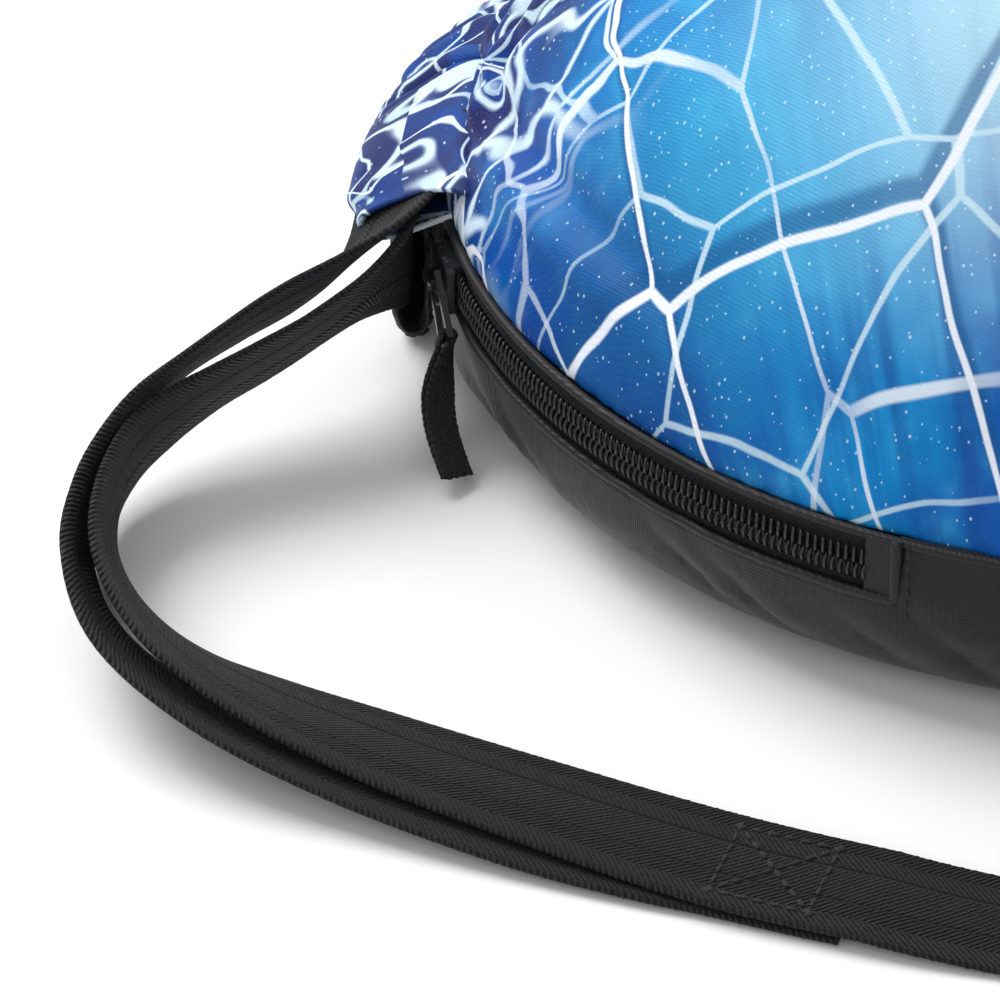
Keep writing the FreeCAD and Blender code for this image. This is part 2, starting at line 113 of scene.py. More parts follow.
def grid_piece(name, points, uv=None, closed=False, flip=False, keep=None, extra=None, cap=False):
    """Make a mesh from points[column, row] in mm; uv is in metres and extra is one value a point."""
    columns, rows = points.shape[:2]
    index = np.arange(columns * rows).reshape(columns, rows)
    last = columns if closed else columns - 1
    i = np.arange(last)
    a = index[i][:, :-1]
    b = index[i][:, 1:]
    c = index[(i + 1) % columns][:, 1:]
    d = index[(i + 1) % columns][:, :-1]
    quads = np.stack([a, b, c, d], -1)
    if keep is not None:
        quads = quads[keep[:last]]
    quads = quads.reshape(-1, 4)
    if flip:
        quads = quads[:, ::-1]
    faces = [tuple(int(v) for v in q) for q in quads]
    if cap:
        ring = [int(v) for v in index[0]]
        faces += [tuple(ring[:-1]), tuple(int(v) for v in index[-1][:-1][::-1])]
    mesh = bpy.data.meshes.new(name)
    mesh.from_pydata((points.reshape(-1, 3) * MM).tolist(), [], faces)
    mesh.update()
    if uv is not None:
        layer = mesh.uv_layers.new(name="Cloth")
        loops = np.empty(len(mesh.loops), dtype=np.int32)
        mesh.loops.foreach_get("vertex_index", loops)
        layer.data.foreach_set("uv", uv.reshape(-1, 2)[loops].astype(np.float32).ravel())
    if extra is not None:
        mark = mesh.attributes.new("gather", "FLOAT", "POINT")
        mark.data.foreach_set("value", extra.ravel().astype(np.float32))
    return finish_mesh(name, mesh)


def finish_mesh(name, mesh):
    work = bmesh.new()
    work.from_mesh(mesh)
    bmesh.ops.remove_doubles(work, verts=work.verts, dist=0.00001)
    loose = [v for v in work.verts if not v.link_faces]
    bmesh.ops.delete(work, geom=loose, context="VERTS")
    work.to_mesh(mesh)
    work.free()
    mesh.polygons.foreach_set("use_smooth", [True] * len(mesh.polygons))
    piece = bpy.data.objects.new(name, mesh)
    bpy.context.collection.objects.link(piece)
    return piece


def thicken(piece, thickness, offset=-1.0):
    wall = piece.modifiers.new("Wall", "SOLIDIFY")
    wall.thickness = thickness * MM
    wall.offset = offset
    wall.use_even_offset = False
    return piece


def dress(piece, body, material, slot, *nodes):
    """Give a finished piece its material, the nodes it stands for and its body. The slot is not used."""
    piece.data.materials.clear()
    piece.data.materials.append(material)
    if nodes:
        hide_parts(*nodes)
    if body:
        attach(piece, body)
    print(piece.name, len(piece.data.polygons), "faces on", body)
    return piece


# %% [markdown]
# ## Folds
# Loose cloth is never smooth. Where a seam is drawn up on webbing, round ridges run away from it
# with sharp valleys between, and they join into fewer, wider folds further out. Everywhere else the
# surface only rolls softly. Both are sums of a few seeded waves, so each run gives the same bag.

# %% Fold helpers
def rolls(points, seed, length, count=14, stretch=(1, 1, 1)):
    draw = np.random.default_rng(seed)
    total = np.zeros(points.shape[:-1])
    for _ in range(count):
        way = draw.normal(size=3)
        way /= np.linalg.norm(way)
        size = length * draw.uniform(0.65, 1.6)
        total += np.sin((points * np.array(stretch)) @ way * (2 * np.pi / size) + draw.uniform(0, 6.28))
    return total / math.sqrt(count)


def ridges(along, seed, spacing, drift):
    """Round ridges with sharp valleys, at an uneven spacing along a seam."""
    draw = np.random.default_rng(seed)
    phase = np.pi * along / spacing
    for size in (2.1, 3.7, 6.3, 11.0):
        phase = phase + 0.85 * np.sin(2 * np.pi * along / (spacing * size) + draw.uniform(0, 6.28))
    return np.abs(np.sin(phase + drift)) ** 0.75 - 0.68


# %% [markdown]
# ## The edge of the printed panel
# The panel's edge follows the round seam in front. Near each corner it climbs to the mouth, and
# then it runs round the mouth to the other corner. The black shell needs the same line.

# %% Panel edge
def casing_line(sizes, degrees):
    """Both ends of a casing's outer face, as radius and height, at angles round the mouth."""
    (a, b), (c, d) = sizes
    share = np.clip(np.sin(np.radians(degrees)), 0, 1) ** 0.8
    first = [a[k] + (c[k] - a[k]) * share for k in (0, 1)]
    second = [b[k] + (d[k] - b[k]) * share for k in (0, 1)]
    return first, second


def front_edge(turn):
    """The seam in front at angles in radians: it climbs near both corners."""
    reach = np.sqrt(BALL ** 2 - (SEAM_Z - BALL_Z) ** 2)
    y = reach * np.sin(turn)
    climb = smooth(1 - (CORNER_Y - y) / CORNER_RISE)
    z = SEAM_Z + (FRONT_CASING[0][0][1] - SEAM_Z) * climb
    reach = np.sqrt(BALL ** 2 - (z - BALL_Z) ** 2)
    return np.stack([reach * np.cos(turn), reach * np.sin(turn), z], -1)


def mouth_edge(turn):
    (r, z), _ = casing_line(FRONT_CASING, np.degrees(turn))
    return np.stack([r * np.cos(turn), CORNER_Y + MOUTH * r * np.sin(turn), z], -1)


corner_turn = math.asin(-CORNER_Y / 133.06)
mouth_turns = np.linspace(0, np.pi, 210)[:-1]
front_turns = np.linspace(np.pi + corner_turn, 2 * np.pi - corner_turn, 250)[:-1]
edge = np.concatenate([mouth_edge(mouth_turns), front_edge(front_turns)])
in_mouth = np.concatenate([np.sin(mouth_turns), np.zeros(len(front_turns))])
edge_steps = np.linalg.norm(np.roll(edge, -1, 0) - edge, axis=1)
edge_along = np.concatenate([[0], np.cumsum(edge_steps)[:-1]])
print("panel edge %.0f mm long" % edge_steps.sum())

# %% [markdown]
# ## Relief of the domed front
# The ridges are deepest at the mouth seam. At the front seam there are only fine puckers, and one
# long fold runs from the left corner beside the seam. A single deep pinch near the left end of the
# mouth gathers the cloth into a small swirl.

# %% Relief and surface of the dome
PINCH = np.array([-96.0, 36.0, 54.0])
DOME_ROWS = 104


def dome_radius(way):
    front = -CORNER_Y * way[..., 1]
    front = front + np.sqrt(front ** 2 - CORNER_Y ** 2 + BALL ** 2)
    flat = np.sqrt(way[..., 0] ** 2 + (way[..., 1] / MOUTH) ** 2 + way[..., 2] ** 2)
    return np.where(way[..., 1] < 0, front, SECTION / flat)


def dome_points(inset, rows=DOME_ROWS):
    """Points from the top of the dome to its edge, with the distance from the edge."""
    rays = edge - HUB
    rays /= np.linalg.norm(rays, axis=1)[:, None]
    angle = np.arccos(rays[:, 2])
    flat = rays[:, :2] / np.linalg.norm(rays[:, :2], axis=1)[:, None]
    share = 1 - (1 - np.linspace(0, 1, rows)) ** 1.25
    tilt = angle[:, None] * share[None, :]
    way = np.concatenate([flat[:, None, :] * np.sin(tilt)[..., None], np.cos(tilt)[..., None]], -1)
    points = HUB + way * (dome_radius(way) - inset)[..., None]
    steps = np.linalg.norm(np.diff(points, axis=1), axis=2)
    run = np.concatenate([np.zeros((len(edge), 1)), np.cumsum(steps, 1)], 1)
    return points, way, run


def dome_relief(points, run):
    left = run[:, -1:] - run
    along = np.broadcast_to(edge_along[:, None], left.shape)
    near_mouth = smooth(in_mouth * 4)[:, None]
    corner = np.exp(-((points[..., 0] + 133) ** 2 + (points[..., 1] + 8) ** 2) / 42 ** 2)
    drift = 0.5 * np.sin(left / 13 + along / 37) + 0.35 * np.sin(left / 7.1 - along / 19)
    fine = ridges(along, 5, 9.5, drift) * np.exp(-left / 16)
    wide = ridges(along, 8, 21.0, drift * 0.8) * np.exp(-left / 52) * smooth(left / 10)
    relief = near_mouth * (4.0 * fine + 5.4 * wide)
    relief += (1 - near_mouth) * 0.55 * ridges(along, 11, 8.0, drift) * np.exp(-left / 7)
    turn = np.degrees(np.arctan2(points[..., 1], points[..., 0]))
    fold_here = smooth((turn + 180) / 8) * smooth((-128 - turn) / 26) * (points[..., 1] < 0)
    fold_line = 15 + 5 * np.sin((turn + 178) / 14)
    relief += fold_here * (1.9 * np.exp(-((left - fold_line) / 4.5) ** 2)
                           - 2.3 * np.exp(-((left - fold_line - 8) / 4.0) ** 2))
    round_corner = np.arctan2(points[..., 1] + 4, points[..., 0] + 140)
    relief += corner * 2.9 * (np.abs(np.sin(round_corner * 6.5 + 0.6 * np.sin(left / 9))) ** 0.8 - 0.6)
    away = np.linalg.norm(points - PINCH, axis=-1)
    relief += -4.2 * np.exp(-(away / 6.5) ** 2) + 1.5 * np.cos(away * 1.15) * np.exp(-away / 12)
    relief += 1.3 * rolls(points, 21, 95) * smooth(left / 25) + 0.35 * rolls(points, 22, 34)
    relief -= 1.3 * np.exp(-left / 2.2)
    return relief, np.clip(near_mouth * np.exp(-left / 46) + 0.85 * corner, 0, 1)


outer_points, _, outer_run = dome_points(0.0)
relief, _ = dome_relief(outer_points, outer_run)
print("relief from %.1f to %.1f mm" % (relief.min(), relief.max()))

# %% [markdown]
# ## Colours
# Each colour is written as it looks on a screen, and one helper turns it into the linear values
# that shaders work in. A second helper keeps the node code short.

# %% Shader helpers
def tone(r, g, b, a=1.0):
    linear = [c / 12.92 if c <= 0.04045 else ((c + 0.055) / 1.055) ** 2.4
              for c in (r / 255, g / 255, b / 255)]
    return (*linear, a)


def put(tree, kind, values=None, **settings):
    """Add a node. A value is a constant, or an output socket that gets linked to the input."""
    node = tree.nodes.new(kind)
    for key, value in settings.items():
        setattr(node, key, value)
    for key, value in (values or {}).items():
        if isinstance(value, bpy.types.NodeSocket):
            tree.links.new(value, node.inputs[key])
        else:
            node.inputs[key].default_value = value
    return node


def maths(tree, operation, a, b=0.0, c=0.0):
    return put(tree, "ShaderNodeMath", {0: a, 1: b, 2: c}, operation=operation).outputs[0]


def blend_colour(tree, share, a, b, mode="MIX"):
    """Mix two colours. Inputs 6 and 7 and output 2 are the colour ones of this node."""
    return put(tree, "ShaderNodeMix", {0: share, 6: a, 7: b}, data_type="RGBA", blend_type=mode).outputs[2]


def ramp_value(tree, value, low, high, to_low=0.0, to_high=1.0):
    return put(tree, "ShaderNodeMapRange", {"Value": value, "From Min": low, "From Max": high,
                                            "To Min": to_low, "To Max": to_high},
               interpolation_type="SMOOTHSTEP").outputs["Result"]


def new_group(name, inputs, outputs):
    group = bpy.data.node_groups.new(name, "ShaderNodeTree")
    for title, kind, value in inputs:
        socket = group.interface.new_socket(title, in_out="INPUT", socket_type=kind)
        if value is not None:
            socket.default_value = value
    for title, kind in outputs:
        group.interface.new_socket(title, in_out="OUTPUT", socket_type=kind)
    return group, group.nodes.new("NodeGroupInput"), group.nodes.new("NodeGroupOutput")


def use_group(tree, group, values=None):
    return put(tree, "ShaderNodeGroup", values, node_tree=group)


def new_material(name, **constants):
    material = bpy.data.materials.new(name)
    material.use_nodes = True
    tree = material.node_tree
    shader = tree.nodes["Principled BSDF"]
    for key, value in constants.items():
        shader.inputs[key.replace("_", " ")].default_value = value
    return material, tree, shader


def bump_into(tree, shader, height, distance, strength=1.0):
    bump = put(tree, "ShaderNodeBump", {"Height": height, "Strength": strength, "Distance": distance})
    tree.links.new(bump.outputs["Normal"], shader.inputs["Normal"])


# %% [markdown]
# ## Shared effects
# Three effects are used again and again: the fine crossed threads of bag cloth, the band and
# herringbone of woven webbing, and the scuffs that show bright metal. Each is one node group.

# %% Fine cloth
cloth, start, end = new_group(
    "Fine cloth", (("Vector", "NodeSocketVector", None), ("Threads", "NodeSocketFloat", 2200.0),
                   ("Wear", "NodeSocketFloat", 0.5)),
    (("Height", "NodeSocketFloat"), ("Shade", "NodeSocketFloat")))
parts = put(cloth, "ShaderNodeSeparateXYZ", {0: start.outputs["Vector"]})
wave_u = maths(cloth, "SINE", maths(cloth, "MULTIPLY", parts.outputs[0], start.outputs["Threads"]))
wave_v = maths(cloth, "SINE", maths(cloth, "MULTIPLY", parts.outputs[1], start.outputs["Threads"]))
wave_w = maths(cloth, "SINE", maths(cloth, "MULTIPLY", parts.outputs[2], start.outputs["Threads"]))
crossed = maths(cloth, "MULTIPLY_ADD", maths(cloth, "MULTIPLY", wave_u, wave_v), 0.35,
                maths(cloth, "MULTIPLY", wave_w, 0.15))
slubs = put(cloth, "ShaderNodeTexNoise", {"Vector": start.outputs["Vector"], "Scale": 240.0, "Detail": 3.0})
patches = put(cloth, "ShaderNodeTexNoise", {"Vector": start.outputs["Vector"], "Scale": 26.0, "Detail": 4.0})
height = maths(cloth, "ADD", crossed, maths(cloth, "MULTIPLY", slubs.outputs["Fac"], 0.7))
cloth.links.new(height, end.inputs["Height"])
shade = maths(cloth, "MULTIPLY_ADD", maths(cloth, "SUBTRACT", patches.outputs["Fac"], 0.5),
              start.outputs["Wear"], maths(cloth, "MULTIPLY_ADD", crossed, 0.12, 1.0))
cloth.links.new(shade, end.inputs["Shade"])

# %% Woven webbing
weave, start, end = new_group(
    "Woven band", (("Vector", "NodeSocketVector", None), ("Pick", "NodeSocketFloat", 0.0011),
                   ("Middle", "NodeSocketFloat", 0.0042), ("Zigzag", "NodeSocketFloat", 0.0085)),
    (("Height", "NodeSocketFloat"), ("Shade", "NodeSocketFloat")))
parts = put(weave, "ShaderNodeSeparateXYZ", {0: start.outputs["Vector"]})
fuzz = put(weave, "ShaderNodeTexNoise", {"Vector": start.outputs["Vector"], "Scale": 900.0, "Detail": 2.0})
jitter = maths(weave, "MULTIPLY", maths(weave, "SUBTRACT", fuzz.outputs["Fac"], 0.5), 0.0006)
along = maths(weave, "ADD", parts.outputs[0], jitter)
across = parts.outputs[1]
turns = maths(weave, "DIVIDE", 2 * math.pi, start.outputs["Pick"])
zig = maths(weave, "PINGPONG", across, start.outputs["Zigzag"])
twill = maths(weave, "SINE", maths(weave, "MULTIPLY", maths(weave, "ADD", along, zig), turns))
grid_u = maths(weave, "SINE", maths(weave, "MULTIPLY", along, turns))
grid_v = maths(weave, "SINE", maths(weave, "MULTIPLY", across, turns))
plain = maths(weave, "MULTIPLY", grid_u, grid_v)
middle = maths(weave, "LESS_THAN", maths(weave, "ABSOLUTE", across), start.outputs["Middle"])
pattern = put(weave, "ShaderNodeMix", {0: middle, 2: twill, 3: plain}, data_type="FLOAT").outputs[0]
groove = ramp_value(weave, maths(weave, "ABSOLUTE", maths(
    weave, "SUBTRACT", maths(weave, "ABSOLUTE", across), start.outputs["Middle"])), 0.0, 0.0005)
height = maths(weave, "ADD", maths(weave, "MULTIPLY_ADD", pattern, 0.5, 0.5),
               maths(weave, "MULTIPLY", fuzz.outputs["Fac"], 0.5))
weave.links.new(maths(weave, "MULTIPLY", height, maths(weave, "MULTIPLY_ADD", groove, 0.6, 0.4)),
                end.inputs["Height"])
lint = maths(weave, "MULTIPLY_ADD", fuzz.outputs["Fac"], 1.3, 0.3)
shade = maths(weave, "MULTIPLY_ADD", pattern, 0.6, lint)
# painted shade: the colour is darkened to 70% in the grooves beside the middle band
weave.links.new(maths(weave, "MULTIPLY", shade, maths(weave, "MULTIPLY_ADD", groove, 0.3, 0.7)),
                end.inputs["Shade"])

# %% Scuffed metal
scuff, start, end = new_group(
    "Scuffs", (("Vector", "NodeSocketVector", None), ("Amount", "NodeSocketFloat", 0.5)),
    (("Mask", "NodeSocketFloat"), ("Grain", "NodeSocketFloat")))
coarse = put(scuff, "ShaderNodeTexNoise", {"Vector": start.outputs["Vector"], "Scale": 320.0, "Detail": 5.0})
fine = put(scuff, "ShaderNodeTexNoise", {"Vector": start.outputs["Vector"], "Scale": 1900.0, "Detail": 3.0})
limit = maths(scuff, "SUBTRACT", 0.8, maths(scuff, "MULTIPLY", start.outputs["Amount"], 0.25))
scuff.links.new(ramp_value(scuff, coarse.outputs["Fac"], limit, maths(scuff, "ADD", limit, 0.06)),
                end.inputs["Mask"])
scuff.links.new(fine.outputs["Fac"], end.inputs["Grain"])
print("three shared effects made")

# %% [markdown]
# ## Plain finishes
# The black shell is a thin woven cloth with a low sheen. The webbing has painted shade in its grooves. The
# lining, the foam, the zip's tape and its nylon coil, and the lacquered metal come next.

# %% Cloth, webbing, foam and metal
def cloth_material(name, colour, threads, wear, rough, relief_depth, sheen=0.15):
    material, tree, shader = new_material(name, Roughness=rough, Sheen_Weight=sheen)
    shader.inputs["Specular IOR Level"].default_value = 0.35
    place = put(tree, "ShaderNodeTexCoord").outputs["Object"]
    group = use_group(tree, cloth, {"Vector": place, "Threads": threads, "Wear": wear})
    colour = blend_colour(tree, 1.0, colour, group.outputs["Shade"], "MULTIPLY")
    tree.links.new(colour, shader.inputs["Base Color"])
    bump_into(tree, shader, group.outputs["Height"], relief_depth)
    return material


def webbing_material(name, colour, pick, middle, zigzag, depth):
    material, tree, shader = new_material(name, Roughness=0.72, Sheen_Weight=0.06)
    shader.inputs["Specular IOR Level"].default_value = 0.25
    place = put(tree, "ShaderNodeUVMap", uv_map="Cloth").outputs["UV"]
    group = use_group(tree, weave, {"Vector": place, "Pick": pick, "Middle": middle, "Zigzag": zigzag})
    colour = blend_colour(tree, 1.0, colour, group.outputs["Shade"], "MULTIPLY")
    tree.links.new(colour, shader.inputs["Base Color"])
    bump_into(tree, shader, group.outputs["Height"], depth)
    return material


black_cloth = cloth_material("black taffeta", tone(22, 19, 21), 9000.0, 0.8, 0.44, 0.00012, 0.08)
lining_cloth = cloth_material("lining cloth", tone(58, 58, 62), 7000.0, 0.3, 0.6, 0.0001)
foam = cloth_material("foam sheet", tone(186, 186, 180), 4200.0, 0.4, 0.9, 0.0006, 0.0)
thread = cloth_material("sewing thread", tone(22, 21, 24), 14000.0, 0.6, 0.6, 0.0001)
webbing = webbing_material("webbing", tone(27, 26, 28), 0.0012, 0.0042, 0.0083, 0.0008)
zip_tape = webbing_material("zip tape", tone(27, 28, 31), 0.0008, 0.0, 0.0016, 0.00022)

coil_nylon, tree, shader = new_material("coil nylon", Roughness=0.33)
place = put(tree, "ShaderNodeTexCoord").outputs["Object"]
group = use_group(tree, scuff, {"Vector": place, "Amount": 0.35})
tree.links.new(blend_colour(tree, group.outputs["Mask"], tone(30, 31, 34), tone(70, 72, 76)),
               shader.inputs["Base Color"])
bump_into(tree, shader, group.outputs["Grain"], 0.00005)

black_metal, tree, shader = new_material("lacquered metal")
place = put(tree, "ShaderNodeTexCoord").outputs["Object"]
group = use_group(tree, scuff, {"Vector": place, "Amount": 0.75})
tree.links.new(blend_colour(tree, group.outputs["Mask"], tone(48, 49, 52), tone(176, 178, 182)),
               shader.inputs["Base Color"])
tree.links.new(maths(tree, "MULTIPLY_ADD", group.outputs["Mask"], 0.35, 0.6), shader.inputs["Metallic"])
tree.links.new(maths(tree, "MULTIPLY_ADD", group.outputs["Grain"], 0.25, 0.2), shader.inputs["Roughness"])
bump_into(tree, shader, group.outputs["Grain"], 0.00003)
print("plain finishes made")

# %% [markdown]
# ## The printed cloth
# The print is a net of pale cords over deep blue water light. It is worked out on the cut cloth's
# own flat coordinates. Cells of a Voronoi pattern give the net: their borders are the cords. Three
# sizes of net lie over each other. Near the gathers the coordinates are pushed about, and a fine
# fourth net adds the swirling light lines that drawn-up cloth shows.

# %% Net of cords
net, start, end = new_group(
    "Net of cords", (("Vector", "NodeSocketVector", None), ("Cell", "NodeSocketFloat", 0.05),
                     ("Cord", "NodeSocketFloat", 0.001), ("Soft", "NodeSocketFloat", 0.0005)),
    (("Mask", "NodeSocketFloat"), ("Distance", "NodeSocketFloat")))
scale = maths(net, "DIVIDE", 1.0, start.outputs["Cell"])
cells = put(net, "ShaderNodeTexVoronoi", {"Vector": start.outputs["Vector"], "Scale": scale,
                                          "Randomness": 0.95},
            feature="DISTANCE_TO_EDGE", voronoi_dimensions="2D")
distance = maths(net, "MULTIPLY", cells.outputs["Distance"], start.outputs["Cell"])
high = maths(net, "ADD", start.outputs["Cord"], start.outputs["Soft"])
mask = put(net, "ShaderNodeMapRange", {"Value": distance, "From Min": start.outputs["Cord"],
                                       "From Max": high, "To Min": 1.0, "To Max": 0.0},
           interpolation_type="SMOOTHSTEP")
net.links.new(mask.outputs["Result"], end.inputs["Mask"])
net.links.new(distance, end.inputs["Distance"])

# %% Printed cloth
printed, tree, shader = new_material("printed cloth", Roughness=0.5)
shader.inputs["Specular IOR Level"].default_value = 0.17
flat = put(tree, "ShaderNodeUVMap", uv_map="Cloth").outputs["UV"]
gather = put(tree, "ShaderNodeAttribute", attribute_name="gather").outputs["Fac"]
sway = put(tree, "ShaderNodeTexNoise", {"Vector": flat, "Scale": 17.0, "Detail": 2.0})
curl = put(tree, "ShaderNodeTexNoise", {"Vector": flat, "Scale": 62.0, "Detail": 1.0})


def pushed(noise, amount):
    move = put(tree, "ShaderNodeVectorMath", {0: noise.outputs["Color"], 1: (0.5, 0.5, 0.5)},
               operation="SUBTRACT")
    return put(tree, "ShaderNodeVectorMath", {0: move.outputs[0], "Scale": amount},
               operation="SCALE").outputs[0]


def summed(*vectors):
    total = vectors[0]
    for vector in vectors[1:]:
        total = put(tree, "ShaderNodeVectorMath", {0: total, 1: vector}, operation="ADD").outputs[0]
    return total


curl_amount = maths(tree, "MULTIPLY_ADD", maths(tree, "MINIMUM", gather, 1.0), 0.036, 0.0015)
water = summed(flat, pushed(sway, 0.012), pushed(curl, curl_amount))


def skewed(turn, stretch_x, stretch_y, x=0.0, y=0.0):
    """The pushed coordinates turned, stretched and moved, so that no two nets run alike."""
    return put(tree, "ShaderNodeMapping", {"Vector": water, "Rotation": (0, 0, turn), "Location": (x, y, 0),
                                           "Scale": (stretch_x, stretch_y, 1.0)}).outputs[0]


def net_of(place, cell, cord, soft):
    return use_group(tree, net, {"Vector": place, "Cell": cell, "Cord": cord, "Soft": soft}).outputs["Mask"]


THICK_CELL = 0.105
thick_place = skewed(0.62, 1.25, 0.72, 0.013, 0.028)
shadow_place = summed(thick_place, put(tree, "ShaderNodeCombineXYZ", {0: 0.0014, 1: -0.0022}).outputs[0])
thick = net_of(thick_place, THICK_CELL, 0.0005, 0.0006)
shadow = net_of(shadow_place, THICK_CELL, 0.0008, 0.0022)
thin = net_of(skewed(-0.25, 0.8, 1.2, 0.31, 0.12), 0.047, 0.00035, 0.0006)
cross = net_of(skewed(1.15, 1.5, 0.6, 0.73, 0.41), 0.068, 0.0005, 0.0006)
light_lines = net_of(skewed(-0.3, 0.55, 1.35), 0.017, 0.0003, 0.0018)

depths = put(tree, "ShaderNodeTexNoise", {"Vector": flat, "Scale": 9.0, "Detail": 4.0, "Roughness": 0.6})
fine_depths = put(tree, "ShaderNodeTexNoise", {"Vector": water, "Scale": 60.0, "Detail": 4.0})
stretched = put(tree, "ShaderNodeMapping", {"Vector": flat, "Scale": (150.0, 7.0, 1.0)}).outputs[0]
streaks = put(tree, "ShaderNodeTexNoise", {"Vector": stretched, "Scale": 1.0, "Detail": 3.0})


def near(x, y, far, close):
    """A mask that is full at one place on the flat cloth and fades out at a distance."""
    away = put(tree, "ShaderNodeVectorMath", {0: flat, 1: (x, y, 0.0)}, operation="DISTANCE")
    return ramp_value(tree, away.outputs["Value"], far, close)


# painted highlight: two pale pools, whitish and then cyan, that fade out from places near the top of the front
painted_highlight = near(-0.040, -0.072, 0.075, 0.0)
painted_highlight_two = near(-0.100, -0.080, 0.07, 0.0)
deep = near(-0.152, -0.108, 0.075, 0.015)

def over(colour, share, strength, *rgb):
    """Lay a colour over what is there, by a mask at some strength."""
    return blend_colour(tree, maths(tree, "MULTIPLY", share, strength), colour, tone(*rgb))


flat_y = put(tree, "ShaderNodeSeparateXYZ", {0: flat}).outputs[1]
streak_part = ramp_value(tree, flat_y, -0.095, -0.14, 0.12, 0.62)
deep_noise, fine_noise = depths.outputs["Fac"], fine_depths.outputs["Fac"]
colour = blend_colour(tree, ramp_value(tree, deep_noise, 0.38, 0.6), tone(0, 84, 172), tone(0, 144, 210))
colour = over(colour, ramp_value(tree, fine_noise, 0.45, 0.75), 0.5, 70, 178, 226)
colour = over(colour, painted_highlight, 0.8, 196, 232, 244)
colour = over(colour, painted_highlight_two, 0.6, 64, 186, 226)
colour = over(colour, deep, 0.75, 0, 46, 128)
colour = over(colour, ramp_value(tree, streaks.outputs["Fac"], 0.42, 0.68), streak_part, 2, 66, 148)
navy_share = maths(tree, "MULTIPLY", ramp_value(tree, gather, 0.26, 0.78), 0.93)
navy = blend_colour(tree, ramp_value(tree, fine_noise, 0.4, 0.7), tone(36, 31, 88), tone(14, 60, 142))
colour = blend_colour(tree, navy_share, colour, navy)
colour = over(colour, shadow, 0.62, 6, 78, 138)

on_casing = maths(tree, "GREATER_THAN", gather, 1.5)
line_share = maths(tree, "POWER", light_lines, maths(tree, "MULTIPLY_ADD", on_casing, 4.0, 1.0))
line_share = maths(tree, "MULTIPLY", line_share, ramp_value(tree, gather, 0.08, 0.5))
colour = over(colour, line_share, ramp_value(tree, sway.outputs["Fac"], 0.36, 0.5), 206, 228, 246)
thin_share = maths(tree, "MULTIPLY", thin, ramp_value(tree, deep_noise, 0.36, 0.5, 0.45))
colour = over(colour, thin_share, 0.8, 202, 230, 242)
cross_share = maths(tree, "MULTIPLY", cross, ramp_value(tree, sway.outputs["Fac"], 0.40, 0.56, 0.5))
colour = over(colour, cross_share, 0.9, 222, 236, 248)
colour = blend_colour(tree, thick, colour, tone(232, 239, 250))
dots = put(tree, "ShaderNodeTexVoronoi", {"Vector": flat, "Scale": 620.0}, voronoi_dimensions="2D")
dot_pick = put(tree, "ShaderNodeSeparateXYZ", {0: dots.outputs["Color"]}).outputs[0]
dot_size = maths(tree, "MULTIPLY", maths(tree, "SUBTRACT", dot_pick, 0.8), 1.1)
dot = maths(tree, "LESS_THAN", dots.outputs["Distance"], dot_size)
colour = blend_colour(tree, maths(tree, "MULTIPLY", dot, 0.55), colour, tone(214, 238, 246))
tree.links.new(colour, shader.inputs["Base Color"])
place = put(tree, "ShaderNodeTexCoord").outputs["Object"]
group = use_group(tree, cloth, {"Vector": place, "Threads": 9500.0, "Wear": 0.2})
bump_into(tree, shader, group.outputs["Height"], 0.00008)
print("print made from", len(tree.nodes), "nodes")

# %% [markdown]
# ## The printed panel
# The panel is one sheet over the whole front. Its foam and lining are the same surface further in,
# so they follow the same deep folds and never show through.

# %% Panel, foam and lining of the front
def flat_pattern(way, run):
    """The cloth laid flat: its way out from the dome's top, at its length along the cloth."""
    flat = way[..., :2] / np.maximum(np.linalg.norm(way[..., :2], axis=-1), 1e-6)[..., None]
    return flat * run[..., None] * MM


def shell_of_dome(name, inset, thickness, uv=False, step=1):
    points, way, run = dome_points(inset)
    wave, mark = dome_relief(points, run)
    if inset:
        wave = np.minimum(wave, 0) - 0.25
        points, way, run, wave, mark = (a[::step, ::step] for a in (points, way, run, wave, mark))
    points = points + way * wave[..., None]
    piece = grid_piece(name, points, flat_pattern(way, run) if uv else None, True,
                       extra=mark if uv else None)
    return thicken(piece, thickness)


dress(shell_of_dome("printed_panel", 0.0, FABRIC, True), "bag", printed, "printed_cloth", "front_panel")
front_foam = shell_of_dome("front_foam", 1.5, 6.3, step=3)
dress(front_foam, "bag", foam, "foam", "front_padding")
dress(shell_of_dome("front_lining_cloth", 8.4, 0.5, step=3), "bag", lining_cloth, "lining_cloth",
      "front_lining")

# %% [markdown]
# ## The black shell
# The shell starts at the middle of the base, rounds up into the side wall and ends at the seam. At
# the mouth it stops low, at the back casing. A window for the zip is left open in the wall, so the
# columns and rows of the grid are placed on the window's sides.

# %% Black shell
WINDOW = (-172.5, -114.0)
WINDOW_LOW = 25.0
MOUTH_TOP = 6.0


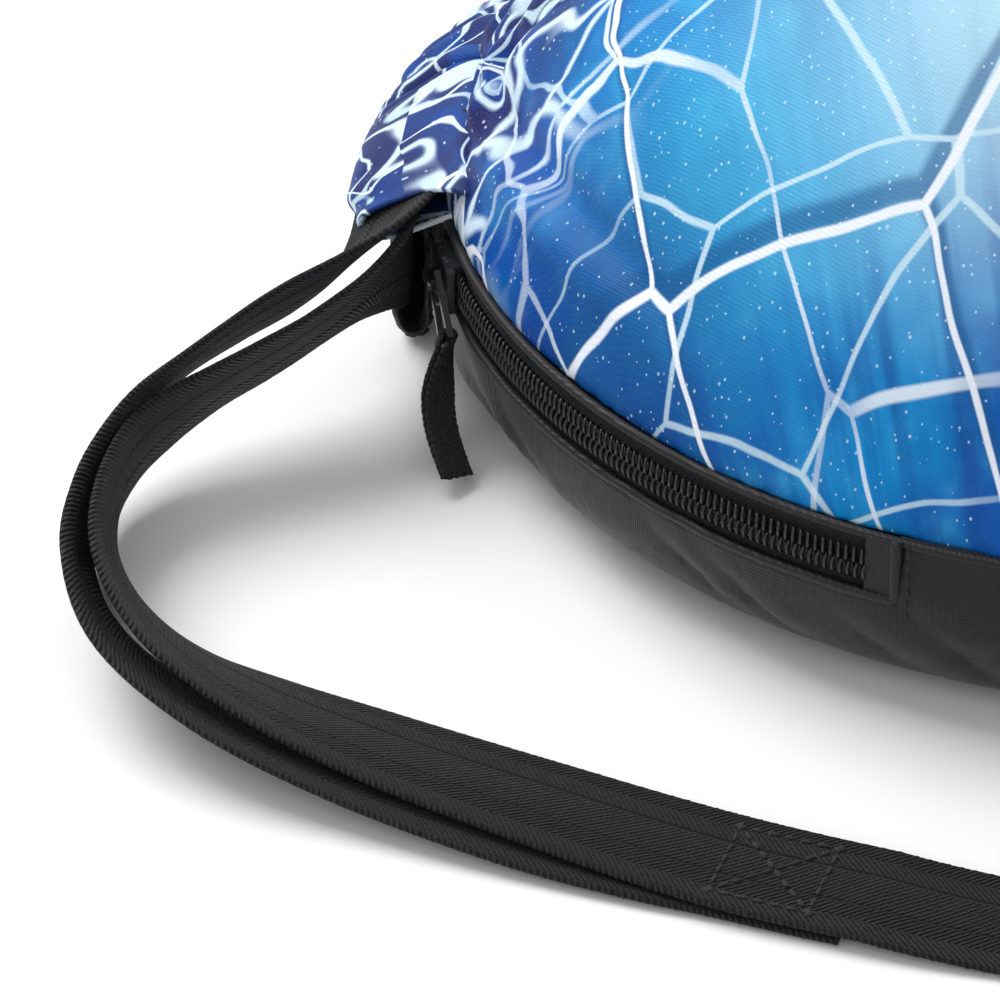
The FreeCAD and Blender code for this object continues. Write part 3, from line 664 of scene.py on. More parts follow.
def wall_points(turn, inset, heights_low, heights_high):
    """Rows of the base and round edge for all turns, then rows of the wall for the front ones."""
    in_front = np.sin(turn) < 0
    flat = WALL - ROUND
    swing = np.linspace(0, math.acos((ROUND - MOUTH_TOP) / ROUND), 9)
    radius = np.concatenate([np.linspace(0, flat, 34)[:-1], flat + (ROUND - inset) * np.sin(swing)])
    height = np.concatenate([np.full(33, inset), ROUND - (ROUND - inset) * np.cos(swing)])
    x = radius[None, :] * np.cos(turn)[:, None]
    y = radius[None, :] * np.sin(turn)[:, None]
    y = np.where(in_front[:, None], y, -math.sin(corner_turn) * radius[None, :] + MOUTH * y)
    base = np.stack([x, y, np.broadcast_to(height, x.shape)], -1)
    sides = turn[in_front]
    top = front_edge(sides)
    rows = []
    for share in heights_low:
        z = MOUTH_TOP + (WINDOW_LOW - MOUTH_TOP) * share
        rise = math.sqrt(max(0, 1 - ((ROUND - min(z, ROUND)) / ROUND) ** 2))
        r = flat + (ROUND - inset) * rise
        rows.append(np.stack([r * np.cos(sides), r * np.sin(sides), np.full(len(sides), z)], -1))
    for share in heights_high:
        z = WINDOW_LOW + (top[:, 2] - WINDOW_LOW) * share
        r = (WALL - inset) + (np.hypot(top[:, 0], top[:, 1]) - WALL) * smooth(share)
        rows.append(np.stack([r * np.cos(sides), r * np.sin(sides), z], -1))
    return base, np.stack(rows, 1)


def wall_relief(points):
    """Soft creases of thin cloth: none on the floor, most half way up the side."""
    up = smooth((points[..., 2] - 1.0) / 14)
    near_seam = 1 - 0.75 * smooth((points[..., 2] - 24) / 10)
    turn = np.arctan2(points[..., 1], points[..., 0])
    folds = ridges(turn * WALL + points[..., 2] * 1.3, 31, 24.0, 0.7 * np.sin(points[..., 2] / 9 + turn * 9))
    small = ridges(turn * WALL - points[..., 2] * 2.0, 33, 11.0, 0.9 * np.sin(points[..., 2] / 6 + turn * 17))
    roll = rolls(points, 41, 46, stretch=(1, 1, 1.6))
    degrees = np.degrees(turn)
    by_zip = smooth((degrees - WINDOW[0] + 5) / 4) * smooth((WINDOW[1] + 5 - degrees) / 4)
    by_zip = by_zip * smooth((points[..., 2] - 13) / 9)
    return up * near_seam * (1.5 * folds + 0.55 * small + 1.0 * roll) * (1 - 0.85 * by_zip) + 0.15 * by_zip


side_turns = np.radians(np.concatenate([
    np.linspace(180 + math.degrees(corner_turn), 360 + WINDOW[0], 9)[:-1],
    np.linspace(360 + WINDOW[0], 360 + WINDOW[1], 86)[:-1],
    np.linspace(360 + WINDOW[1], 360 - math.degrees(corner_turn), 165)]))
shell_turns = np.concatenate([np.linspace(0.001, np.pi - 0.001, 110), side_turns])
low_rows = np.linspace(0, 1, 13)
high_rows = np.linspace(0, 1, 9)[1:]
_, wall = wall_points(shell_turns, 0.0, low_rows, high_rows)
wall_turns = np.degrees(np.arctan2(wall[:, 0, 1], wall[:, 0, 0]))
keep = np.ones((len(wall), wall.shape[1] - 1), bool)
open_columns = (wall_turns > WINDOW[0] - 0.01) & (wall_turns < WINDOW[1] - 0.01)
above_low_edge = np.arange(wall.shape[1] - 1) >= len(low_rows) - 1
keep[np.ix_(open_columns, above_low_edge)] = False


def outward(points):
    way = points * np.array([1, 1, 0.0])
    return way / np.maximum(np.linalg.norm(way, axis=-1), 1e-6)[..., None]


def joined(name, *pieces):
    work = bmesh.new()
    for piece in pieces:
        work.from_mesh(piece.data)
    bmesh.ops.remove_doubles(work, verts=work.verts, dist=0.00002)
    mesh = bpy.data.meshes.new(name)
    work.to_mesh(mesh)
    work.free()
    for piece in pieces:
        bpy.data.objects.remove(piece)
    mesh.polygons.foreach_set("use_smooth", [True] * len(mesh.polygons))
    piece = bpy.data.objects.new(name, mesh)
    bpy.context.collection.objects.link(piece)
    return piece


def shell_of_tray(name, inset, thickness, window):
    base, wall = wall_points(shell_turns, inset, low_rows, high_rows)
    if inset:    # pieces inside follow the creases inwards only, with a little room
        wall, base = (rows + outward(rows) * (np.minimum(wall_relief(rows), 0) - 0.3)[..., None]
                      for rows in (wall, base))
    else:
        wall, base = (rows + outward(rows) * wall_relief(rows)[..., None] for rows in (wall, base))
    floor_piece = grid_piece(name + "_a", base, None, True, flip=True)
    wall_piece = grid_piece(name + "_b", wall, None, False, flip=True, keep=keep if window else None)
    return thicken(joined(name, floor_piece, wall_piece), thickness)


dress(shell_of_tray("black_shell", 0.0, FABRIC, True), "bag", black_cloth, "black_taffeta", "back_shell")
dress(shell_of_tray("base_lining_cloth", 8.4, 0.5, False), "bag", lining_cloth, "lining_cloth", "base_lining")
base_foam = shell_of_tray("base_foam", 1.5, 6.2, True)
dress(base_foam, "bag", foam, "foam", "base_padding")

# %% [markdown]
# ## Casings and hems
# A casing is a flat tube of cloth with webbing through it. The bag hangs on that webbing, so the
# tube is pushed together into tight ridges across its length. Its two ends are hemmed, and stay
# open for the webbing to come out.

# %% Casings and hems
AROUND = 44               # points round the tube
CASING_MARK = 2.0         # above 1.5 the print draws fewer light lines


def casing_grid(sizes, degrees, around, proud, relief_size, seed):
    first, second = casing_line(sizes, degrees)
    length = np.hypot(second[0] - first[0], second[1] - first[1])
    u = np.stack([(second[0] - first[0]) / length, (second[1] - first[1]) / length], -1)
    inward = np.where(u[:, 1:] < 0, np.stack([u[:, 1], -u[:, 0]], -1), np.stack([-u[:, 1], u[:, 0]], -1))
    t = np.linspace(0, 2 * np.pi, around + 1)[:-1] + np.pi / 2
    c, s = np.cos(t), np.sin(t)
    a = length[:, None] * (0.5 - 0.5 * np.sign(c) * np.abs(c) ** 0.55)[None, :]
    b = CASING_DEPTH * (0.5 - 0.5 * np.sign(s) * np.abs(s) ** 0.7)[None, :]
    a = a + proud * np.sign(a - length[:, None] / 2) * np.abs(c)[None, :]
    b = b - proud * s[None, :]
    out_a, out_b = -c, -s
    turn = np.radians(degrees)
    rail = np.stack([140 * np.cos(turn), CORNER_Y + MOUTH * 140 * np.sin(turn)], -1)
    along = np.concatenate([[0], np.cumsum(np.linalg.norm(np.diff(rail, axis=0), axis=1))])[:, None]
    drift = 0.9 * np.sin(a / 8.5 + along / 31) + 0.5 * np.sin(a / 4.6 - along / 17)
    tight = 2.3 * ridges(along + 0 * a, seed, 6.6, drift)
    lift = relief_size * (tight + 1.2 * ridges(along + a * 0.4, seed + 1, 13, drift))
    lift = lift + (1.2 if relief_size else 0.0) * np.abs(s)[None, :] * (s > 0)[None, :]
    fade = smooth((degrees - 7.5) / 5) * smooth((172.5 - degrees) / 5)
    lift = lift * fade[:, None]
    b = b + lift * out_b[None, :]
    a = a + 0.8 * lift * out_a[None, :]
    radius = first[0][:, None] + u[:, :1] * a + inward[:, :1] * b
    height = first[1][:, None] + u[:, 1:] * a + inward[:, 1:] * b
    swing = along_swing(along, a, seed) * (relief_size > 0) * fade[:, None]
    angle = turn[:, None] + swing / 140
    points = np.stack([radius * np.cos(angle), CORNER_Y + MOUTH * radius * np.sin(angle), height], -1)
    return points, a


def along_swing(along, a, seed):
    """Ridges lean to one side or the other as they cross the tube."""
    return 1.6 * np.sin(along / 9.3 + seed) * np.sin(a / 9.0) + 1.0 * np.sin(along / 4.1 + a / 5)


def casing_piece(name, sizes, body_degrees, proud, relief_size, seed, thickness):
    points, a = casing_grid(sizes, body_degrees, AROUND, proud, relief_size, seed)
    turn = np.radians(body_degrees)
    beyond = 205 + a    # the cloth's length from the dome's top to this tube
    flat = np.stack([np.cos(turn)[:, None] * beyond, MOUTH * np.sin(turn)[:, None] * beyond], -1) * MM
    rolled = np.concatenate([points, points[:, :1]], 1)
    flat = np.concatenate([flat, flat[:, :1]], 1)
    mark = np.full(rolled.shape[:2], CASING_MARK)
    piece = grid_piece(name, rolled, flat, False, flip=True, extra=mark)
    return thicken(piece, thickness)


# how far a hem runs on at its inner and outer edge, and how it moves out, up and narrows
HEM_TURN = {"front": (25.0, 11.0, -0.8, -1.4, 0.86), "back": (4.0, 4.0, -0.5, 0.5, 0.97)}


def hem_columns(name, sizes, left, proud, shares):
    """Sections of a hem: round the corner first, then straight on forwards, a little narrower."""
    degrees = np.linspace(180 - HEM_SWEEP, 180, 12) if left else np.linspace(HEM_SWEEP, 0, 12)
    points, a = casing_grid(sizes, degrees, AROUND, proud, 0.0, 0)
    last = points[-1]
    (r1, z1), (r2, z2) = sizes[0]
    side = -1 if left else 1
    middle = np.array([side * (r1 + r2) / 2, 0, (z1 + z2) / 2])
    reach_in, reach_out, out, up, scale = HEM_TURN[name]
    over = np.clip(a[-1] / math.hypot(r2 - r1, z2 - z1), 0, 1)
    reach = reach_in + (reach_out - reach_in) * over
    arch = 1 - 0.12 * np.sin(np.pi * over)
    more = []
    for share in shares:
        k = float(smooth(share))
        flat = (last - middle) * np.array([1, 0, 1]) * (1 + (scale - 1) * k) + middle
        flat = flat + np.array([side * out * k, 0, up * k])
        flat[:, 1] = last[:, 1] - reach * share * arch
        flat[:, 0] += 0.35 * np.sin(share * 9 + a[-1] / 3.0)
        more.append(flat)
    return points, np.array(more)


def hem_piece(name, sizes, left):
    head, reach = hem_columns(name, sizes, left, 0.7, np.linspace(0, 1, 26)[1:])
    points = np.concatenate([head, reach])
    points = np.concatenate([points, points[:, :1]], 1)
    run = np.concatenate([[0], np.cumsum(np.linalg.norm(np.diff(points[:, 0], axis=0), axis=1))])
    across = np.linspace(0, 62, points.shape[1])
    flat = np.stack(np.broadcast_arrays(-0.2 - run[:, None] * MM, across[None, :] * MM), -1)
    piece = grid_piece("hem", points, flat, flip=left, extra=np.full(points.shape[:2], CASING_MARK))
    return piece


TUBE = np.linspace(HEM_SWEEP - 0.6, 180 - HEM_SWEEP + 0.6, 620)
for side, sizes, seed, material, slot in (("front", FRONT_CASING, 51, printed, "printed_cloth"),
                                          ("back", BACK_CASING, 61, black_cloth, "black_taffeta")):
    tube = casing_piece(side + "_casing_cloth", sizes, TUBE, 0.0, 1.0, seed, 0.8)
    dress(tube, "bag", material, slot, side + "_casing")
    hems = joined(side + "_hems", *(hem_piece(side, sizes, left) for left in (True, False)))
    dress(thicken(hems, 1.0), "bag", material, slot, side + "_casing_hems")

# %% [markdown]
# ## Webbing
# All webbing is one flat section moved along a list of stations. A station has a centre, the way
# across the webbing and the way through it. The section has a slight groove each side of its middle
# band, and its edges are nubbed by the weft that turns round there.

# %% Webbing helper
ACROSS = np.array([-12.5, -12.1, -10.5, -7.5, -4.7, -4.2, -3.7, 0.0, 3.7, 4.2, 4.7, 7.5, 10.5, 12.1, 12.5])
RAISED = np.array([0.25, 0.62, 0.75, 0.78, 0.75, 0.62, 0.74, 0.76, 0.74, 0.62, 0.75, 0.78, 0.75, 0.62, 0.25])


def web_piece(name, stations, nub=0.1, width=WEB_WIDTH, thick=WEB_THICK, step=0.6, offset=0.0):
    centre, wide, deep = (np.array([s[k] for s in stations], float) for k in range(3))
    run = np.concatenate([[0], np.cumsum(np.linalg.norm(np.diff(centre, axis=0), axis=1))])
    places = np.linspace(0, run[-1], max(8, int(run[-1] / step)))
    centre, wide, deep = (np.stack([np.interp(places, run, v[:, k]) for k in range(3)], -1)
                          for v in (centre, wide, deep))
    wide /= np.linalg.norm(wide, axis=1)[:, None]
    deep /= np.linalg.norm(deep, axis=1)[:, None]
    v = np.concatenate([ACROSS, ACROSS[::-1]]) * (width / WEB_WIDTH)
    w = np.concatenate([-RAISED, RAISED[::-1]]) * (thick / WEB_THICK)
    bite = nub * (np.sin(places * 2 * np.pi / 1.15 + 2 * np.sin(places / 3.1))
                  + 0.6 * np.sin(places * 2 * np.pi / 2.9))
    wave = 0.3 * np.sin(places / 11.0 + 1.3 * np.sin(places / 23))
    edge_share = np.abs(v / (width / 2)) ** 14
    across = v[None, :] + bite[:, None] * np.sign(v) * edge_share
    through = w[None, :] + wave[:, None] * (np.abs(v) / width)[None, :] * (nub > 0)
    points = centre[:, None, :] + wide[:, None, :] * across[..., None] + deep[:, None, :] * through[..., None]
    points = np.concatenate([points, points[:, :1]], 1)
    flat = np.zeros(points.shape[:2] + (2,))
    flat[..., 0] = (places[:, None] + offset) * MM
    flat[..., 1] = np.concatenate([v, v[:1]])[None, :] * MM
    piece = grid_piece(name, points, flat, False, cap=True)
    faces_out(piece)
    return piece


def faces_out(piece):
    work = bmesh.new()
    work.from_mesh(piece.data)
    bmesh.ops.recalc_face_normals(work, faces=work.faces)
    work.to_mesh(piece.data)
    work.free()


# %% [markdown]
# ## The webbing in the casings
# Each casing holds its own webbing. It goes on out of the hems as the strap's two layers.

# %% Webbing in the casings
def casing_stations(sizes):
    found = []
    for degrees in np.linspace(177, 3, 120):
        (r1, z1), (r2, z2) = casing_line(sizes, degrees)
        length = math.hypot(r2 - r1, z2 - z1)
        u = ((r2 - r1) / length, (z2 - z1) / length)
        inward = (u[1], -u[0]) if u[1] < 0 else (-u[1], u[0])
        depth = 0.8 + 0.3 + WEB_THICK / 2
        r = r1 + u[0] * length / 2 + inward[0] * depth
        z = z1 + u[1] * length / 2 + inward[1] * depth
        turn = math.radians(degrees)
        c, s = math.cos(turn), MOUTH * math.sin(turn)
        found.append(((r * c, CORNER_Y + r * s, z), (u[0] * c, u[0] * s, u[1]),
                      (-inward[0] * c, -inward[0] * s, -inward[1])))
    return found


for side, sizes in (("front", FRONT_CASING), ("back", BACK_CASING)):
    dress(web_piece(side + "_inner_webbing", casing_stations(sizes), step=1.2), "bag",
          webbing, "webbing", side + "_casing_webbing")

# %% [markdown]
# ## The carry strap
# The strap is a long loop of webbing that comes out of the back casing, lies on the floor in front
# of the bag and goes back in at the other corner. It stands on its edge near the bag and leans over
# as it comes round. From the front casing comes a second layer. It runs outside the first one and
# is sewn down under it with a crossed box. Where the strap swings, the webbing bends at the hems.

# %% Route of the strap
# each knot: x, y, lean in degrees (90 stands on edge, 0 lies flat), height of the lower edge
INNER_END = [
    (-143.6, 2.0, 90, 3.0), (-144.0, -9.0, 95, 8.0), (-145.5, -20.0, 104, 14.0),
    (-149.5, -30.5, 114, 17.5), (-156.5, -39.0, 121, 16.5), (-166.0, -45.5, 123, 13.0),
    (-175.5, -51.0, 122, 10.0), (-184.0, -56.8, 117, 6.8), (-191.5, -63.5, 109, 3.8),
    (-196.8, -73.5, 98, 1.2)]
OUTER_END = [
    (-142.7, 2.0, 141, 32.6), (-143.9, -9.0, 141, 31.2), (-146.4, -20.0, 138, 28.6),
    (-152.0, -29.5, 132, 25.5), (-161.0, -36.5, 128, 22.0), (-171.5, -42.5, 127, 18.8),
    (-181.5, -49.0, 127, 15.2), (-190.0, -57.0, 121, 10.8), (-197.0, -67.0, 108, 6.0),
    (-201.3, -79.0, 96, 2.4)]
INNER_LEFT = [
    (-198.0, -90.0, 82, 0.2), (-194.0, -106.5, 60, 0.2), (-184.0, -121.0, 40, 0.2), (-169.0, -132.5, 24, 0.2),
    (-148.0, -143.5, 12, 0.2), (-120.0, -157.0, 5, 0.2), (-88.0, -172.0, 0, 0.2)]
MIDDLE = [
    (-66.0, -180.0, 0, 0.2), (-43.0, -187.0, 0, 0.2), (0.0, -196.0, 0, 0.2), (43.0, -199.0, 0, 0.2),
    (66.0, -198.0, 0, 0.2)]
INNER_RIGHT = [
    (92.0, -194.5, 0, 0.2), (124.0, -186.0, 5, 0.2), (154.0, -171.5, 14, 0.2), (177.0, -151.0, 30, 0.2),
    (192.0, -127.0, 55, 0.2), (197.0, -104.0, 76, 0.2), (197.0, -90.0, 84, 0.2)]
OUTER_LEFT = [
    (-202.6, -91.0, 84, 0.7), (-200.3, -107.0, 65, 0.2), (-191.0, -124.0, 42, 0.2), (-174.0, -137.5, 25, 0.2),
    (-151.0, -148.5, 12, 0.2), (-122.0, -161.0, 4, 0.2), (-101.0, -168.6, 1, 0.2), (-88.0, -172.6, 0, 0.2),
    (-65.0, -180.3, 0, 0.2)]
OUTER_RIGHT = [
    (65.0, -198.0, 0, 0.2), (92.0, -194.9, 0, 0.2), (125.0, -189.3, 4, 0.2), (157.0, -175.5, 14, 0.2),
    (182.5, -154.5, 30, 0.2), (198.0, -129.0, 55, 0.2), (203.0, -105.0, 76, 0.2), (202.8, -91.0, 84, 0.7)]
CLIMB_START = 41.0        # from here outwards the long webbing climbs onto the second layer
CLIMB_LENGTH = 20.0


def other_side(knots):
    return [(-x, y, lean, lift) for x, y, lean, lift in knots[::-1]]


def stations_on(route_knots, count, over_second):
    """Stations along knots of x, y, lean in degrees and height of the lower edge."""
    knots = np.array([k[:2] for k in route_knots])
    slopes = np.zeros_like(knots)
    slopes[1:-1] = (knots[2:] - knots[:-2]) / 2
    slopes[0], slopes[-1] = knots[1] - knots[0], knots[-1] - knots[-2]
    rest = np.array([k[2:] for k in route_knots])
    found = []
    for place in np.linspace(0, len(knots) - 1, count + 1):
        i = min(int(place), len(knots) - 2)
        t = place - i
        a, b, c, d = knots[i], knots[i + 1], slopes[i], slopes[i + 1]
        point = a + (b - a) * (t * t * (3 - 2 * t)) + c * (t * (1 - t) ** 2) - d * (t * t * (1 - t))
        ahead = (b - a) * (6 * t * (1 - t)) + c * (1 - 4 * t + 3 * t * t) + d * (3 * t * t - 2 * t)
        ahead /= np.linalg.norm(ahead)
        before, after = rest[max(i - 1, 0)], rest[min(i + 2, len(rest) - 1)]
        e, f = (rest[i + 1] - before) / 2, (after - rest[i]) / 2
        value = rest[i] + (rest[i + 1] - rest[i]) * (t * t * (3 - 2 * t))
        value = value + e * (t * (1 - t) ** 2) - f * (t * t * (1 - t))
        lean, lift = math.radians(value[0]), max(value[1], 0.2)
        out = np.array([ahead[1], -ahead[0], 0])
        up = np.array([0, 0, 1.0])
        wide = out * math.cos(lean) + up * math.sin(lean)
        deep = out * math.sin(lean) - up * math.cos(lean)
        height = lift + WEB_WIDTH / 2 * math.sin(lean) + WEB_THICK / 2 * abs(math.cos(lean))
        past = abs(point[0]) - CLIMB_START
        if over_second and past > 0:
            rise = min(1.0, past / CLIMB_LENGTH)
            height += rise * WEB_PITCH * max(0.0, math.cos(lean))
        found.append((np.array([*point, height]), wide, deep))
    return found


route = stations_on(INNER_END + INNER_LEFT + MIDDLE + INNER_RIGHT + other_side(INNER_END), 1100, True)
under_left = stations_on(OUTER_END + OUTER_LEFT, 500, False)
under_right = stations_on(OUTER_RIGHT + other_side(OUTER_END), 500, False)[::-1]


def strap_piece(name, stations, node, offset=0.0):
    piece = web_piece(name, stations, step=0.62, offset=offset)
    dress(piece, None, webbing, "webbing", node)
    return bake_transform(piece)


strap_piece("strap_webbing", route, "carry_strap")
strap_piece("strap_second_layer_left", under_left, "strap_leg_left", 2.7)
strap_piece("strap_second_layer_right", under_right, "strap_leg_right", 1.3)

# %% [markdown]
# ## Stitches
# A stitch is a short bead of thread. A small Geometry Nodes tree spaces beads evenly along a line
# and turns each one to follow it. The same tree sews the boxes on the strap, the hems and the edge
# of the zip pocket, with its own sizes each time.

# %% Tree that sews a line
def new_tree(name, inputs):
    tree = bpy.data.node_groups.new(name, "GeometryNodeTree")
    tree.interface.new_socket("Geometry", in_out="INPUT", socket_type="NodeSocketGeometry")
    for title, kind, value in inputs:
        socket = tree.interface.new_socket(title, in_out="INPUT", socket_type=kind)
        if value is not None:
            socket.default_value = value
    tree.interface.new_socket("Geometry", in_out="OUTPUT", socket_type="NodeSocketGeometry")
    return tree, tree.nodes.new("NodeGroupInput"), tree.nodes.new("NodeGroupOutput")


def spread_along(tree, start, end, step, model, scale=None):
    """Set a model at even steps along the line, turn each to follow it, and paint them."""
    line = put(tree, "GeometryNodeResampleCurve", {"Curve": start.outputs["Geometry"], "Length": step},
               mode="LENGTH")
    tangent = put(tree, "GeometryNodeInputTangent")
    turned = put(tree, "FunctionNodeAlignRotationToVector", {"Vector": tangent.outputs[0]}, axis="X")
    values = {"Points": line.outputs[0], "Instance": model, "Rotation": turned.outputs[0]}
    if scale is not None:
        values["Scale"] = scale
    copies = put(tree, "GeometryNodeInstanceOnPoints", values)
    real = put(tree, "GeometryNodeRealizeInstances", {0: copies.outputs[0]})
    painted = put(tree, "GeometryNodeSetMaterial", {"Geometry": real.outputs[0],
                                                    "Material": start.outputs["Finish"]})
    tree.links.new(painted.outputs[0], end.inputs[0])


sewing, start, end = new_tree("Sewing", (
    ("Step", "NodeSocketFloat", 0.0028), ("Stitch", "NodeSocketFloat", 0.0022),
    ("Thread", "NodeSocketFloat", 0.00032), ("Finish", "NodeSocketMaterial", None)))
bead = put(sewing, "GeometryNodeMeshIcoSphere", {"Radius": 1.0, "Subdivisions": 2})
half = put(sewing, "ShaderNodeMath", {0: start.outputs["Stitch"], 1: 0.5}, operation="MULTIPLY").outputs[0]
size = put(sewing, "ShaderNodeCombineXYZ", {0: half, 1: start.outputs["Thread"], 2: start.outputs["Thread"]})
spread_along(sewing, start, end, start.outputs["Step"], bead.outputs[0], size.outputs[0])


def lines_object(name, lines):
    curve = bpy.data.curves.new(name, "CURVE")
    curve.dimensions = "3D"
    for points in lines:
        spline = curve.splines.new("POLY")
        spline.points.add(len(points) - 1)
        spline.points.foreach_set("co", [c for p in points for c in (p[0] * MM, p[1] * MM, p[2] * MM, 1)])
    piece = bpy.data.objects.new(name, curve)
    bpy.context.collection.objects.link(piece)
    return piece


def grown(name, tree, lines, **sizes):
    """Run a tree on some lines and keep the result as a plain mesh."""
    source = lines_object(name + "_lines", lines)
    maker = source.modifiers.new("Make", "NODES")
    maker.node_group = tree
    for item in tree.interface.items_tree:
        if item.in_out == "INPUT" and item.name in sizes:
            maker[item.identifier] = sizes[item.name]
    bpy.context.view_layer.update()
    graph = bpy.context.evaluated_depsgraph_get()
    mesh = bpy.data.meshes.new_from_object(source.evaluated_get(graph))
    mesh.name = name
    bpy.data.objects.remove(source)
    mesh.polygons.foreach_set("use_smooth", [True] * len(mesh.polygons))
    piece = bpy.data.objects.new(name, mesh)
    bpy.context.collection.objects.link(piece)
    return piece


# %% Crossed boxes on the strap
def box_lines(side):
    centre, wide, deep = min(route, key=lambda s: abs(s[0][0] - side * 79.0))
    ahead = np.cross(wide, deep)
    top = centre - deep * (WEB_THICK / 2 + 0.12)
    corners = [top + ahead * 9 * i + wide * 9 * j for i, j in ((-1, -1), (1, -1), (1, 1), (-1, 1))]
    return [[corners[i], corners[j]] for i, j in ((0, 1), (1, 2), (2, 3), (3, 0), (0, 2), (1, 3))]


boxes = grown("box_stitching", sewing, box_lines(-1) + box_lines(1), Step=0.0026, Stitch=0.0023,
              Thread=0.00045, Finish=thread)
dress(boxes, "strap", thread, "thread", "box_stitches")


# %% Stitches on the hems
def hem_lines(name, sizes):
    found = []
    for left in (True, False):
        for share in (0.94, 0.80):
            _, columns = hem_columns(name, sizes, left, 0.85, [share])
            found.append(list(columns[0]) + [columns[0][0]])
    return found


hem_rows = hem_lines("front", FRONT_CASING) + hem_lines("back", BACK_CASING)
hem_stitches = grown("hem_stitches", sewing, hem_rows, Step=0.0030, Stitch=0.0023, Thread=0.00026,
                     Finish=thread)
dress(hem_stitches, "bag", thread, "thread")

# %% [markdown]
# ## The zip
# The pocket's zip lies in the window of the side wall. Two tapes carry two rows of nylon coil. Each
# turn of coil is one small slanted loop, and the upper row sits half a turn on from the lower one,
# so that they mesh. The second tree spaces the loops along the tape.

# %% Tapes and coils
def arc(radius, z, start, end, count=200):
    turn = np.radians(np.linspace(start, end, count))
    return np.stack([radius * np.cos(turn), radius * np.sin(turn), np.full(count, z)], -1)


def tape(name, low, high, start, end):
    rows = np.linspace(low, high, 14)
    turn = np.radians(np.linspace(start, end, 220))
    r = WALL - FABRIC - 0.5
    points = np.stack([r * np.cos(turn)[:, None] + 0 * rows, r * np.sin(turn)[:, None] + 0 * rows,
                       np.broadcast_to(rows, (220, 14))], -1)
    flat = np.stack([np.broadcast_to((turn * WALL * MM)[:, None], (220, 14)), points[..., 2] * MM], -1)
    return thicken(grid_piece(name, points, flat, flip=True), 0.6)


row_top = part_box("zip_coil_upper")[1].z / MM - ZIP_Z
tape_ends = (WINDOW[0] + 0.3, WINDOW[1] - 0.3)
for name, low, high, node in (("zip_tape_top", ZIP_Z + 0.2, SEAM_Z - 0.4, "zip_tape_upper"),
                              ("zip_tape_bottom", ZIP_Z - 14, ZIP_Z - 0.2, "zip_tape_lower")):
    dress(tape(name, low, high, *tape_ends), "bag", zip_tape, "zip_tape", node)

winding, start, end = new_tree("Coil", (
    ("Pitch", "NodeSocketFloat", 0.0015), ("Depth", "NodeSocketFloat", 0.0009),
    ("Height", "NodeSocketFloat", 0.0015), ("Wire", "NodeSocketFloat", 0.00033),
    ("Slant", "NodeSocketFloat", 0.32), ("Finish", "NodeSocketMaterial", None)))
ring = put(winding, "GeometryNodeCurvePrimitiveCircle", {"Resolution": 12, "Radius": 1.0})
tilt = put(winding, "ShaderNodeCombineXYZ", {1: math.pi / 2, 2: start.outputs["Slant"]})
stretch = put(winding, "ShaderNodeCombineXYZ", {0: start.outputs["Height"], 1: start.outputs["Depth"], 2: 1.0})
oval = put(winding, "GeometryNodeTransform", {"Geometry": ring.outputs[0], "Scale": stretch.outputs[0]})
oval = put(winding, "GeometryNodeTransform", {"Geometry": oval.outputs[0], "Rotation": tilt.outputs[0]})
wire = put(winding, "GeometryNodeCurvePrimitiveCircle", {"Resolution": 6, "Radius": start.outputs["Wire"]})
loop = put(winding, "GeometryNodeCurveToMesh", {"Curve": oval.outputs[0], "Profile Curve": wire.outputs[0]})
spread_along(winding, start, end, start.outputs["Pitch"], loop.outputs[0])

COIL_RADIUS = 138.9
COIL_PITCH = 1.5
half_turn = math.degrees(COIL_PITCH / 2 / COIL_RADIUS)
for name, side, shift in (("coil_top", 1, 0.0), ("coil_bottom", -1, half_turn)):
    height = ZIP_Z + side * (row_top / 2 + 0.1)
    coil = grown(name, winding, [arc(COIL_RADIUS, height, -169.6 + shift, -116.7 + shift)],
                 Pitch=COIL_PITCH * MM, Depth=0.0007, Height=row_top / 2 * MM, Wire=0.00034,
                 Slant=0.3 * side, Finish=coil_nylon)
    node = "zip_coil_upper" if side > 0 else "zip_coil_lower"
    dress(coil, "bag", coil_nylon, "zip_coil", node)

# %% [markdown]
# ## Edges of the pocket
# The wall cloth is turned under at the window and sewn down, which leaves a low roll along it. The
# seam under the panel has a thin roll too. Both are tubes along their line.

# %% Welt, seam roll and pocket stitches
def tube_along(name, points, radius, squash=1.0):
    points = np.asarray(points, float)
    ahead = np.gradient(points, axis=0)
    ahead /= np.linalg.norm(ahead, axis=1)[:, None]
    out = outward(points)
    side = np.cross(ahead, out)
    side /= np.linalg.norm(side, axis=1)[:, None]
    t = np.linspace(0, 2 * np.pi, 11)
    ring = (out[:, None, :] * (np.cos(t) * radius * squash)[None, :, None]
            + side[:, None, :] * (np.sin(t) * radius)[None, :, None])
    piece = grid_piece(name, points[:, None, :] + ring, cap=True)
    faces_out(piece)
    return piece


def on_wall(points, proud=0.0):
    points = np.asarray(points, float)
    return points + outward(points) * (wall_relief(points) + proud)[:, None]


def upright(degrees, low, high, count=16):
    turn = np.radians(degrees)
    heights = np.linspace(low, high, count)
    return np.stack([np.full(count, WALL * np.cos(turn)), np.full(count, WALL * np.sin(turn)), heights], -1)


low_line = arc(WALL, WINDOW_LOW, *WINDOW, 260)
right_line = upright(WINDOW[1], WINDOW_LOW, SEAM_Z)
welt = joined("pocket_welt", tube_along("welt_low", on_wall(low_line, -0.35), 1.0, 0.8),
              tube_along("welt_right", on_wall(right_line, -0.35), 1.0, 0.8))
dress(welt, "bag", black_cloth, "black_taffeta")

